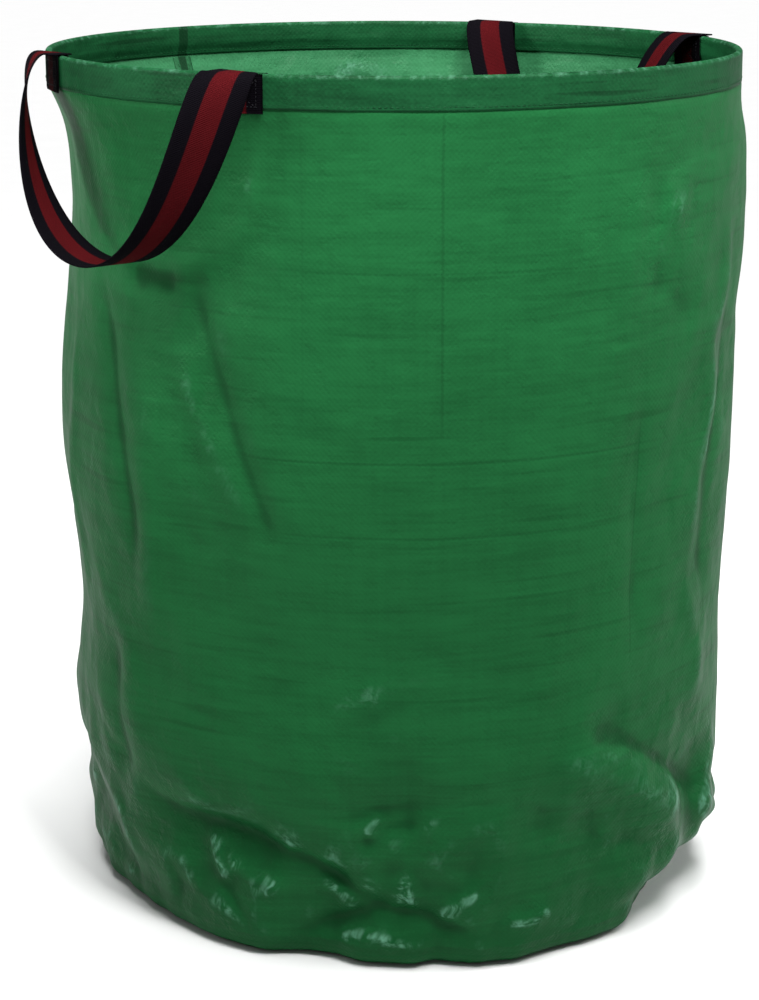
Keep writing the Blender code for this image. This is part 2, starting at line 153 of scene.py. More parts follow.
# Each loop: where its lowest point lies from the line between its sewn ends (out, towards the left
# leg, down), and for each leg how far it is pulled out at the rim and along at the bottom before it
# curves, and how late it twists
FRONT_HANDLE = dict(
    name="handle_front", angle=180.0, side=1, out=0.0617, aside=0.0124, drop=0.173,
    left=dict(pull_out=0.0400, pull_along=0.1126, twist_power=0.72),
    right=dict(pull_out=0.0310, pull_along=0.1190, twist_power=1.27))
BACK_HANDLE = dict(
    name="handle_back", angle=4.3, side=-1, out=0.0264, aside=0.0150, drop=0.200,
    left=dict(pull_out=0.0370, pull_along=0.0480, twist_power=0.85),
    right=dict(pull_out=0.0420, pull_along=0.0480, twist_power=2.60))
FLAT_STEPS = 4
LEG_STEPS = 56
ACROSS_STEPS = 10
EDGE_ROUND = 0.0006

# Tabs, sewn on the hem with room for its own stitches behind them
THREAD_ROOM = 0.0006
TAB_OUT = RIM_RADIUS + GAP + THREAD_ROOM + GAP
TAB_IN = HEM_INNER_RADIUS * math.cos(math.radians(2.5)) - GAP - THREAD_ROOM - GAP
TAB_PINCH = 0.35
TAB_ROWS = 14
TAB_COLUMNS = 20
# Share of the webbing's thickness left under a stitch and at an edge, and how far the pull reaches
STITCHED_SHARE = 0.62
EDGE_SHARE = 0.55
STITCH_REACH = 0.0022
EDGE_REACH = 0.0012

# Stitches: pitch, length and thickness of the thread
SIDE_STITCHES = (0.0045, 0.0038, 0.0008)
RING_STITCHES = (0.0050, 0.0040, 0.0008)
BOX_STITCHES = (0.0034, 0.0028, 0.0009)
UNEVENNESS = 0.12
HEM_STITCH_UP = 0.0035
BASE_STITCH_DOWN = 0.004
BOX_MARGIN = 0.006

# How finely the pieces are made
WALL_COLUMNS = 352
ANGLE_SAMPLES = 1441
FINE_ANGLE, FINE_HALF_ANGLE, FINE_SHARE = 228.0, 75.0, 1.5
LOW_ROW = 0.0040
HIGH_ROW = 0.0086
LOW_ZONE = 0.20
HEM_ROW = 0.0026
TOE_STEPS = 5
BAND_STEPS = 288
RING_STEPS = 360


# Node trees

class Signal:
    """A number in a node tree; arithmetic on it adds Math nodes."""

    def __init__(self, tree, socket):
        self.tree = tree
        self.socket = socket

    def maths(self, operation, *others):
        return add_node(self.tree, "ShaderNodeMath", {"operation": operation}, (self, *others))

    def __add__(self, other):
        return self.maths("ADD", other)

    def __sub__(self, other):
        return self.maths("SUBTRACT", other)

    def __rsub__(self, other):
        return self.maths("MULTIPLY", -1.0).maths("ADD", other)

    def __mul__(self, other):
        return self.maths("MULTIPLY", other)

    def __truediv__(self, other):
        return self.maths("DIVIDE", other)

    def __abs__(self):
        return self.maths("ABSOLUTE")

    __radd__ = __add__
    __rmul__ = __mul__

    def smooth(self, low, high):
        """0 below low, 1 above high, eased between."""
        return add_node(self.tree, "ShaderNodeMapRange", {"interpolation_type": "SMOOTHSTEP"},
                        {"Value": self, "From Min": low, "From Max": high})


def connect(tree, value, slot):
    """Link a signal or another socket to an input, or set the input to a constant."""
    if isinstance(value, Signal):
        value = value.socket
    if isinstance(value, bpy.types.NodeSocket):
        tree.links.new(value, slot)
    else:
        slot.default_value = value


def add_node(tree, kind, settings=None, values=(), output=0):
    """A node with its settings, then the values or links of its inputs, by name, number or order."""
    made = tree.nodes.new(kind)
    for key, value in (settings or {}).items():
        setattr(made, key, value)
    pairs = values.items() if isinstance(values, dict) else enumerate(values)
    for key, value in pairs:
        connect(tree, value, made.inputs[key])
    return Signal(tree, made.outputs[output])


def split(tree, vector):
    """The three numbers of a vector."""
    made = tree.nodes.new("ShaderNodeSeparateXYZ")
    connect(tree, vector, made.inputs[0])
    return [Signal(tree, out) for out in made.outputs]


class Nodes:
    """Something with a node tree of its own."""

    def node(self, kind, settings=None, values=(), output=0):
        return add_node(self.tree, kind, settings, values, output)


class Finish(Nodes):
    """A material and the nodes that vary it."""

    def __init__(self, name, **constants):
        self.material = bpy.data.materials.new(name)
        self.material.use_nodes = True
        self.tree = self.material.node_tree
        self.shader = self.tree.nodes["Principled BSDF"]
        self.feed(**constants)

    def feed(self, **values):
        """Set or link inputs of the shader, with _ for each space in their names."""
        for key, value in values.items():
            connect(self.tree, value, self.shader.inputs[key.replace("_", " ")])

    def place(self):
        """Where a point of the piece is, as three numbers."""
        return split(self.tree, self.node("ShaderNodeTexCoord", output=3))

    def join(self, x, y, z=0.0):
        return self.node("ShaderNodeCombineXYZ", None, (x, y, z))

    def noise(self, x, y, z=0.0, detail=2.0, roughness=0.5):
        """Noise from 0 to 1 over numbers that are already scaled."""
        return self.node("ShaderNodeTexNoise", None, {
            "Vector": self.join(x, y, z), "Scale": 1.0, "Detail": detail, "Roughness": roughness})

    def blend(self, share, first, second):
        """Mix of two colours."""
        return self.node("ShaderNodeMix", {"data_type": "RGBA"}, {0: share, 6: first, 7: second}, output=2)

    def emboss(self, height, strength):
        """Normal that shows a height in metres."""
        return self.node("ShaderNodeBump", None, {"Height": height, "Distance": 1.0, "Strength": strength})


class Recipe(Nodes):
    """Geometry nodes that turn plain edges into a mesh; inputs names each input and its kind."""

    def __init__(self, name, **inputs):
        self.tree = bpy.data.node_groups.new(name, "GeometryNodeTree")
        self.identifiers = {}
        for label, kind in inputs.items():
            row = self.tree.interface.new_socket(label, in_out="INPUT", socket_type="NodeSocket" + kind)
            self.identifiers[label] = row.identifier
        self.tree.interface.new_socket("result", in_out="OUTPUT", socket_type="NodeSocketGeometry")
        sockets = self.tree.nodes.new("NodeGroupInput").outputs
        self.given = {label: Signal(self.tree, sockets[label]) for label in inputs}

    def end(self, geometry):
        """Shade the result smooth and give it its finish."""
        smooth = self.node("GeometryNodeSetShadeSmooth", None, {"Geometry": geometry})
        dressed = self.node("GeometryNodeSetMaterial", None,
                            {"Geometry": smooth, "Material": self.given["finish"]})
        connect(self.tree, dressed, self.tree.nodes.new("NodeGroupOutput").inputs[0])
        return self

    def run(self, piece, **given):
        """Run the nodes on a piece and keep the result as its plain mesh."""
        mod = piece.modifiers.new("make", "NODES")
        mod.node_group = self.tree
        for label, value in given.items():
            mod[self.identifiers[label]] = value
        bpy.context.view_layer.update()
        evaluated = piece.evaluated_get(bpy.context.evaluated_depsgraph_get())
        made = bpy.data.meshes.new_from_object(evaluated)
        piece.modifiers.clear()
        edges = piece.data
        piece.data = made
        bpy.data.meshes.remove(edges)


# Shapes

def polar(radius, degrees, height):
    angle = math.radians(degrees)
    return Vector((radius * math.cos(angle), radius * math.sin(angle), height))


def turn_between(degrees, middle):
    """Signed angle from a middle, from -180 to 180."""
    return (degrees - middle + 180.0) % 360.0 - 180.0


def near_angle(degrees, middle, half):
    """1 at a middle angle, easing to 0 over a half angle on both sides."""
    return np.exp(-(turn_between(degrees, middle) / half) ** 2)


def smoothstep(values, low, high):
    t = np.clip((values - low) / (high - low), 0.0, 1.0)
    return t * t * (3 - 2 * t)


def hermite_weights(t):
    """Shares of a start, its slope, an end and its slope on a smooth curve."""
    return (1 + 2 * t) * (1 - t) ** 2, t * (1 - t) ** 2, t * t * (3 - 2 * t), t * t * (t - 1)


def ring(radius, turn, height):
    """Points at angles in radians; radius and height are one number or one for each angle."""
    return np.stack([radius * np.cos(turn), radius * np.sin(turn), height + np.zeros_like(turn)], axis=1)


def add_object(name, data):
    """A new object in the scene."""
    made = bpy.data.objects.new(name, data)
    bpy.context.scene.collection.objects.link(made)
    return made


def make_piece(name, points, faces, finishes, spots=None, places=None):
    """A mesh object. spots gives each point's place on the cloth in metres, or places each corner's."""
    mesh = bpy.data.meshes.new(name)
    mesh.from_pydata([tuple(p) for p in points], [], faces)
    for finish in finishes:
        mesh.materials.append(finish.material)
    if spots is not None:
        places = [spots[corner] for face in faces for corner in face]
    if places is not None:
        layer = mesh.uv_layers.new(name="cloth")
        layer.data.foreach_set("uv", np.asarray(places, np.float32).ravel())
    mesh.shade_smooth()
    return add_object(name, mesh)


def thicken(piece, thickness, inner_slot=0, offset=-1.0):
    """Live thickness behind the surface."""
    mod = piece.modifiers.new("thickness", "SOLIDIFY")
    mod.thickness = thickness
    mod.offset = offset
    mod.use_even_offset = False
    mod.material_offset = inner_slot
    mod.material_offset_rim = inner_slot


def dress(piece, body, node=None, folds=False):
    """The body that a piece rides on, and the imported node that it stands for, if any."""
    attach(piece, body)
    if folds:
        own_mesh(piece)
    if node:
        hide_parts(node)


def grid_faces(rows, columns, wraps=True):
    """Faces of a grid with rows from the top down, facing out if it wraps round the bag."""
    faces = []
    for j in range(rows - 1):
        for i in range(columns if wraps else columns - 1):
            k = (i + 1) % columns
            faces.append((j * columns + i, (j + 1) * columns + i, (j + 1) * columns + k, j * columns + k))
    return faces


def turned_over(faces):
    """The same faces of a grid, facing the other way from the same first corner."""
    return [(a, d, c, b) for a, b, c, d in faces]


# Form of the side wall

def hermite(stations, places_up):
    """Smooth curves through stations that are sorted from the top down."""
    places = np.array([row[0] for row in stations])
    values = np.array([row[1:] for row in stations])
    slopes = np.gradient(values, places, axis=0)
    i = np.clip(np.searchsorted(-places, -places_up) - 1, 0, len(places) - 2)
    span = places[i + 1] - places[i]
    start, leaving, stop, arriving = hermite_weights((places_up - places[i]) / span)
    weights = (start, leaving * span, stop, arriving * span)
    parts = (values[i], slopes[i], values[i + 1], slopes[i + 1])
    return sum(w[..., None] * p for w, p in zip(weights, parts))


def wall_base_radius(degrees, heights):
    """The side wall's main form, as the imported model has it."""
    share = np.clip((heights - TOE_RADIUS) / (HEM_FOOT - TOE_RADIUS), 0.0, 1.0)
    slack = hermite(WALL_STATIONS, share)
    radius = WALL_TOP_RADIUS + slack[..., 0] + slack[..., 1] * np.cos(np.radians(degrees - LEAN_ANGLE))
    for angle, level, half_angle, half_share, depth in WALL_SWELLS:
        turn = turn_between(degrees, angle)
        radius = radius + depth * np.exp(-(turn / half_angle) ** 2 - ((share - level) / half_share) ** 2)
    return np.where(heights >= HEM_FOOT, WALL_TOP_RADIUS, radius)


# Folds of the side wall, in degrees and millimetres. Each row gives how far the cloth moves out (or
# in, below 0), over what width it eases off on the left and on the right of the fold's line, how
# soft the line is, and the line's places as (angle, height)
FOLDS = (
    # Fold from the front handle down to the middle of the front, with the cloth swelling left of it
    (-6.2, 7, 26, 2.6, (193, 655), (195.9, 597), (200.6, 519), (205.8, 445), (209.5, 400)),
    (4.8, 14, 9, 6, (188.5, 600), (193, 530), (197.9, 478), (203.5, 425)),
    # Hollow under the front handle
    (-8, 10, 22, 2.6, (178, 634), (184, 640), (191, 632)),
    # Upright flutes on the left
    (-7.5, 16, 10, 2.6, (168, 640), (172.8, 561), (176.4, 490), (179.7, 410), (178.5, 330)),
    (6.8, 13, 24, 14, (181, 585), (183.4, 480), (183.4, 370), (182.2, 280)),
    (5.2, 16, 18, 12, (164, 380), (170.1, 316), (175.5, 290), (177.5, 220), (178.5, 160)),
    (-5, 12, 12, 2.6, (172.5, 290), (173, 210), (176, 140)),
    (4, 10, 14, 2.6, (156, 600), (158, 500), (156, 400), (160, 300)),
    # Folds round the foot of the bag, front left: the cloth above hangs over a skirt that slopes out
    (-20, 13, 46, 2.6, (177, 150), (184, 132), (191, 125), (197, 125), (203, 119), (207.5, 110),
     (212.5, 102), (217.5, 88), (221.5, 73), (226, 58)),
    (-15, 11, 22, 2.6, (206, 21), (214, 34), (221.8, 52), (225.5, 60), (231.6, 56), (237, 44),
     (243, 34)),
    # Broad hollow across the lower front
    (-8.5, 24, 44, 2.6, (214, 140), (222, 154), (234, 166), (244.3, 162), (254.7, 146), (262.7, 130),
     (273, 110)),
    (-6, 8, 16, 2.6, (221, 120), (226.5, 140), (233, 147)),
    # Swelling and crease at the lower right, and the cloth tucked under it
    (10, 18, 22, 12, (252, 200), (261, 182), (270, 157), (279, 128), (289, 98)),
    (-10.5, 24, 8, 2.6, (259, 220), (265, 207), (272, 190), (281, 158), (290, 124), (299, 90)),
    (-6, 6, 20, 5, (282, 58), (290, 45), (299, 38), (311, 40)),
    (12.5, 40, 18, 10, (290, 96), (301, 80), (312, 76)),
    (-8.5, 14, 30, 6, (245, 144), (255, 128), (265, 110), (275, 88), (284, 72)),
    # Upright flutes on the right
    (6.6, 9, 20, 5, (295.3, 690), (294.5, 620), (289, 566), (290, 500), (287, 430), (285.7, 350)),
    (-6, 12, 12, 2.6, (299, 600), (296, 520), (292, 440), (291, 360), (294, 280)),
    (5, 10, 12, 5, (284, 345), (287, 300), (290.5, 255), (287.7, 200)),
    (5.2, 26, 30, 14, (309, 790), (311, 720), (310, 640), (307, 540)),
    (-2.8, 10, 8, 2.6, (270, 560), (269, 450), (270, 370), (270.6, 280)),
    (3.2, 8, 10, 4, (268, 740), (268.5, 690), (272, 664), (276, 660)),
    (3, 9, 9, 4, (281, 735), (277, 700), (270.5, 668)),
    (-2.6, 10, 12, 6, (270, 640), (276, 624), (283, 600)),
    # Small creases that catch the light
    (7.4, 9, 6, 2.6, (193.6, 116), (195.2, 90), (198, 66)),
    (4, 6, 6, 2.6, (197.5, 100), (200, 80)),
    (4.4, 6, 6, 2.6, (204, 88), (206.8, 66)),
    (5, 6, 7, 2.6, (214, 86), (218.5, 70), (221.5, 56)),
    (4.6, 5, 6, 2.6, (225.4, 156), (222.8, 132)),
    (5.6, 5, 6, 2.6, (234.2, 46), (237.9, 67), (242, 83)),
    (5, 6, 5, 2.6, (245, 44), (250.4, 44), (254, 56)),
    (5.4, 6, 5, 2.6, (216, 22), (221.8, 34), (227, 28), (233.3, 23)),
    (4.2, 8, 7, 2.6, (216, 250), (221.2, 264), (226, 274)),
    (3.4, 8, 7, 2.6, (222, 262), (228, 282), (236, 290)),
    (2.6, 5, 5, 2.6, (203, 733), (206, 712)),
    (2.2, 5, 5, 2.6, (207.8, 664), (209.6, 652)),
    # The sides that face away
    (-5.8, 14, 22, 6, (318, 700), (322, 610), (319, 500), (324, 380)),
    (5, 12, 18, 6, (338, 560), (341, 470), (338.5, 360), (342, 250)),
    (-12, 14, 36, 6, (322, 142), (329, 132), (338, 128), (348, 136)),
    (-11.5, 14, 34, 6, (344, 118), (356, 104), (10, 122), (24, 130)),
    (-5.2, 12, 20, 6, (2, 640), (8, 560), (4, 440), (9, 330)),
    (-12, 15, 36, 6, (31, 120), (44, 100), (58, 118), (70, 112)),
    (-5.2, 10, 24, 6, (38, 660), (46, 560), (50, 440), (57, 340)),
    (-11.5, 14, 36, 6, (80, 135), (94, 125), (108, 140), (122, 128)),
    (5.2, 12, 16, 6, (112, 620), (117, 520), (114, 410), (119, 300)),
    (-4.5, 16, 12, 6, (128, 680), (131, 580), (129, 460), (133, 350)),
    (-8, 15, 34, 6, (126, 144), (134, 124), (141, 122), (149, 132)),
)
FOLD_END = 0.24

# Crumpling: seed, spacing round and up, and how far the facets' corners move in or out
FLUTES = dict(seed=11, spacing=(0.075, 0.30), depth=0.0052)
CRUMPLE = dict(seed=5, spacing=(0.060, 0.070), depth=0.0022)
FINE_CRUMPLE = dict(seed=23, spacing=(0.026, 0.030), depth=0.0011)
FACET_JITTER = 0.42
# Crumpled patches higher up: angle, height, half angle, half height
PATCHES = ((223.0, 0.270, 10.0, 0.040), (272.0, 0.680, 10.0, 0.060), (205.0, 0.720, 6.0, 0.030),
           (196.0, 0.520, 5.0, 0.060), (290.0, 0.470, 9.0, 0.110))
# The front is taut above its foot; the top of the back and the foot all round are slack: angle and half
# angle, and the heights between which it changes
TAUT_FRONT = (236.0, 30.0)
TAUT_HEIGHTS = (0.20, 0.34)
SLACK_FOOT_HEIGHTS = (0.06, 0.24)
SLACK_BACK = (50.0, 55.0)
SLACK_BACK_HEIGHTS = (0.60, 0.72)
# A full crease stands this far off the wall as it is after so many blurs
CREASE_DEPTH = 0.0017
CREASE_BLURS = 5
# Below the hem the folds end between these two distances, and the wall comes out to the hem's face
QUIET_UNDER_HEM, QUIET_END = 0.045, 0.007
UNDER_HEM_RUN = 0.006


def smooth_line(points, steps=6):
    """Points of a smooth line through a few given ones."""
    knots = np.array(points, float)
    slopes = np.gradient(knots, axis=0)
    line = []
    for a, b, m, n in zip(knots, knots[1:], slopes, slopes[1:]):
        for t in np.arange(steps) / steps:
            line.append(sum(w * part for w, part in zip(hermite_weights(t), (a, m, b, n))))
    line.append(knots[-1])
    return np.array(line)


def fold_depth(degrees, heights, fold):
    """How far one fold moves the cloth in or out."""
    depth, left, right, soft = (size / 1000 for size in fold[:4])
    places = fold[4:]
    middle = places[len(places) // 2][0]
    across = np.radians(turn_between(degrees, middle)) * RIM_RADIUS
    line = smooth_line([(math.radians(turn_between(a, middle)) * RIM_RADIUS, h / 1000) for a, h in places])
    nearest = np.full(across.shape, np.inf)
    side = np.zeros(across.shape)
    progress = np.zeros(across.shape)
    for k, (start, stop) in enumerate(zip(line, line[1:])):
        run = stop - start
        t = ((across - start[0]) * run[0] + (heights - start[1]) * run[1]) / run.dot(run)
        t = np.clip(t, 0.0, 1.0)
        off_across, off_up = across - start[0] - t * run[0], heights - start[1] - t * run[1]
        distance = np.hypot(off_across, off_up)
        closer = distance < nearest
        nearest = np.where(closer, distance, nearest)
        side = np.where(closer, run[0] * off_up - run[1] * off_across, side)
        progress = np.where(closer, (k + t) / (len(line) - 1), progress)
    width = np.where(side > 0, left, right)
    ends = smoothstep(progress, -0.02, FOLD_END) * smoothstep(1 - progress, -0.02, FOLD_END)
    away = np.sqrt(nearest ** 2 + soft ** 2) - soft
    return depth * ends * np.exp(-away / width)


def facets(degrees, heights, seed, spacing, depth):
    """Flat facets between scattered points that stand in or out, as crumpled film has."""
    rng = np.random.default_rng(seed)
    columns = round(CIRCUMFERENCE / spacing[0])
    rows = math.ceil(BAG_HEIGHT / spacing[1]) + 2
    step = CIRCUMFERENCE / columns
    points, depths = [], []
    for row in range(rows):
        jitter = rng.uniform(-FACET_JITTER, FACET_JITTER, (columns, 2))
        level = rng.uniform(-depth, depth, columns)
        for wrap in (-1, 0, 1):
            for i in range(columns):
                way_round = (i + 0.5 * (row % 2) + jitter[i, 0]) * step + wrap * CIRCUMFERENCE
                if -4 * step < way_round < CIRCUMFERENCE + 4 * step:
                    points.append((way_round, (row - 0.5 + jitter[i, 1]) * spacing[1]))
                    depths.append(level[i])
    verts, _, faces, origin, _, _ = delaunay_2d_cdt([Vector(p) for p in points], [], [], 0, 1e-7)
    corner_depth = [depths[o[0]] for o in origin]
    across = np.radians(degrees % 360.0) * RIM_RADIUS
    result = np.zeros(across.shape)
    for face in faces:
        a, b, c = (np.array(verts[i]) for i in face)
        low, high = np.minimum(np.minimum(a, b), c), np.maximum(np.maximum(a, b), c)
        near = np.nonzero((across >= low[0]) & (across <= high[0])
                          & (heights >= low[1]) & (heights <= high[1]))
        x, y = across[near] - a[0], heights[near] - a[1]
        ab, ac = b - a, c - a
        area = ab[0] * ac[1] - ab[1] * ac[0]
        if abs(area) < 1e-12 or not len(x):
            continue
        v = (x * ac[1] - y * ac[0]) / area
        w = (ab[0] * y - ab[1] * x) / area
        inside = (v >= -1e-6) & (w >= -1e-6) & (v + w <= 1 + 1e-6)
        da, db, dc = (corner_depth[i] for i in face)
        value = da + v * (db - da) + w * (dc - da)
        result[near[0][inside], near[1][inside]] = value[inside]
    return result


def crumpling(degrees, heights):
    """All the facets, each kind where the bag has it, and how slack the cloth is, from 0 to 1."""
    front = near_angle(degrees, *TAUT_FRONT) * smoothstep(heights, *TAUT_HEIGHTS)
    low = 1 - smoothstep(heights, *SLACK_FOOT_HEIGHTS)
    sides = np.clip(1 - 0.92 * front, 0.0, 1.0)
    inside_back = near_angle(degrees, *SLACK_BACK) * smoothstep(heights, *SLACK_BACK_HEIGHTS)
    patch = sum(near_angle(degrees, angle, half_angle) * np.exp(-((heights - height) / half_height) ** 2)
                for angle, height, half_angle, half_height in PATCHES)
    flutes = facets(degrees, heights, **FLUTES) * sides
    coarse = facets(degrees, heights, **CRUMPLE) * (0.3 + 0.6 * sides + 2.6 * low + 1.4 * inside_back)
    fine = facets(degrees, heights, **FINE_CRUMPLE) * (
        0.40 + 0.6 * sides + 2.8 * low + 2.2 * inside_back + 1.3 * patch)
    slack = np.clip(0.30 * sides + low + 0.55 * inside_back + 0.42 * patch, 0.0, 1.0)
    return flutes + coarse + fine, slack


def wall_heights():
    """Row heights from the wall's top edge inside the hem down to where the toe turns in."""
    upper = np.arange(LOW_ZONE, HEM_FOOT - HEM_ROW - HIGH_ROW / 2, HIGH_ROW)
    lower = np.arange(TOE_RADIUS, LOW_ZONE - LOW_ROW / 2, LOW_ROW)
    near_hem = np.array([WALL_TOP, HEM_FOOT, HEM_FOOT - HEM_ROW])
    return np.concatenate([near_hem, upper[::-1], lower[::-1]])


def wall_angles():
    """Column angles, closer together where the folds are small."""
    fine = np.linspace(0.0, 360.0, ANGLE_SAMPLES)
    share = np.cumsum(1.0 + FINE_SHARE * near_angle(SEAM_ANGLE + fine, FINE_ANGLE, FINE_HALF_ANGLE))
    share = (share - share[0]) / (share[-1] - share[0])
    return SEAM_ANGLE + np.interp(np.arange(WALL_COLUMNS) / WALL_COLUMNS, share, fine)


def soften(field):
    """One light blur over the grid, round the bag and up it."""
    field = (np.roll(field, 1, axis=1) + 2 * field + np.roll(field, -1, axis=1)) / 4
    inner = (field[:-2] + 2 * field[1:-1] + field[2:]) / 4
    return np.concatenate([field[:1], inner, field[-1:]])


class WallShape:
    """Outer radius of the side wall on a grid of angles and heights, with its creases and slackness."""

    def __init__(self):
        self.angles = wall_angles()
        self.heights = wall_heights()
        degrees, heights = np.meshgrid(self.angles, self.heights)
        quiet = 1 - smoothstep(heights, HEM_FOOT - QUIET_UNDER_HEM, HEM_FOOT - QUIET_END)
        moved, self.slack = crumpling(degrees, heights)
        for fold in FOLDS:
            moved = moved + fold_depth(degrees, heights, fold)
        moved = soften(moved) * quiet
        broad = moved
        for _ in range(CREASE_BLURS):
            broad = soften(broad)
        self.crease = np.clip((moved - broad) / CREASE_DEPTH, -1.0, 1.0)
        under_hem = np.exp(-((heights - HEM_FOOT + HEM_ROW) / UNDER_HEM_RUN) ** 2) * (heights < HEM_FOOT)
        self.radius = wall_base_radius(degrees, heights) + moved + under_hem * HEM_LEAF

    def at(self, degrees, height):
        """Radius at one place."""
        place = np.interp((degrees - SEAM_ANGLE) % 360.0, self.angles - SEAM_ANGLE, np.arange(WALL_COLUMNS))
        i = int(place)
        t = place - i
        column = self.radius[:, i % WALL_COLUMNS] * (1 - t) + self.radius[:, (i + 1) % WALL_COLUMNS] * t
        return float(np.interp(-height, -self.heights, column))


# Finishes: each kind's deep colour, then its light one

GREEN_OUTER = (0.0055, 0.062, 0.0170, 1.0), (0.0085, 0.094, 0.0260, 1.0)
# The inner face's colour is lighter than the outer face's: painted light, for light that comes through the
# cloth
GREEN_INNER_PAINTED_LIGHT = (0.0135, 0.085, 0.0320, 1.0), (0.0290, 0.145, 0.0600, 1.0)
GREEN_HEM = (0.0024, 0.026, 0.0084, 1.0), (0.0056, 0.060, 0.0190, 1.0)
GREEN_TAPE = (0.0012, 0.016, 0.0050, 1.0), (0.0022, 0.027, 0.0085, 1.0)
GREEN_SIDE_TAPE = (0.0100, 0.062, 0.0230, 1.0), (0.0180, 0.098, 0.0390, 1.0)
GREEN_THREAD = (0.003, 0.032, 0.011, 1.0), (0.006, 0.056, 0.019, 1.0)
BLACK_THREAD = (0.006, 0.006, 0.008, 1.0), (0.016, 0.015, 0.018, 1.0)
RED_WEBBING = (0.022, 0.0014, 0.0020, 1.0), (0.060, 0.0036, 0.0050, 1.0)
BLACK_WEBBING = (0.0010, 0.0008, 0.0015, 1.0), (0.0034, 0.0026, 0.0042, 1.0)
HOOP_PLASTIC = (0.016, 0.017, 0.019, 1.0), (0.030, 0.032, 0.036, 1.0)
SLEEVE_PLASTIC = (0.014, 0.015, 0.016, 1.0), (0.026, 0.027, 0.030, 1.0)
FLOOR_WHITE = (0.86, 0.86, 0.86, 1.0), (0.90, 0.90, 0.90, 1.0)
# Painted shade: the dark colour put in crease hollows and along the seam
GREEN_SHADOW = (0.0020, 0.020, 0.0065, 1.0)
# Painted highlight: the pale colour put on crease ridges and along the top edge of the bag
PAINTED_HIGHLIGHT = (0.1300, 0.330, 0.2200, 1.0)
WEAVE_PITCH = 0.0026
MARK_WIDTH = (0.0002, 0.0022)
MARK_FADE = 0.02

# Marks where the cloth was folded for packing, each a shallow valley with painted shade along it:
# whether the mark runs up, its angle or height, from, to, strength
FOLD_MARKS = (
    (True, 234.55, 0.515, 0.792, 1.0),
    (True, 213.2, 0.530, 0.792, 0.35),
    (True, 269.6, 0.280, 0.500, 0.8),
    (False, 0.487, 203.0, 271.0, 1.0),
    (False, 0.419, 209.0, 256.0, 0.8),
    (False, 0.655, 214.0, 262.0, 0.5),
    (True, 54.5, 0.300, 0.780, 0.7),
    (True, 324.0, 0.320, 0.780, 0.7),
)


def round_place(degrees):
    """Distance round the bag from the side seam, in metres on the cloth."""
    return (degrees - SEAM_ANGLE) % 360.0 / 360.0 * CIRCUMFERENCE


def place_round_bag(finish):
    """Distance round the bag and height, from where a point of the piece is."""
    x, y, z = finish.place()
    return x.maths("ARCTAN2", y * -1.0) * RIM_RADIUS, z


def place_on_cloth(finish):
    """Distance across and along the cloth, from its own map."""
    return split(finish.tree, finish.node("ShaderNodeUVMap", {"uv_map": "cloth"}))[:2]


def place_flat(finish):
    """Place on cloth that lies on the ground."""
    return finish.place()[:2]


def fold_mark(x, y, upright, at, low, high, strength):
    """Strength of one thin packing mark, where painted shade and a shallow valley go."""
    if upright:
        across, along = x - round_place(at), y
        ends = (low, high)
    else:
        across, along = y - at, x
        ends = (round_place(low), round_place(high))
    line = 1.0 - abs(across).smooth(*MARK_WIDTH)
    begun, over = (along.smooth(end - MARK_FADE, end + MARK_FADE) for end in ends)
    return line * (begun * (1.0 - over)) * strength


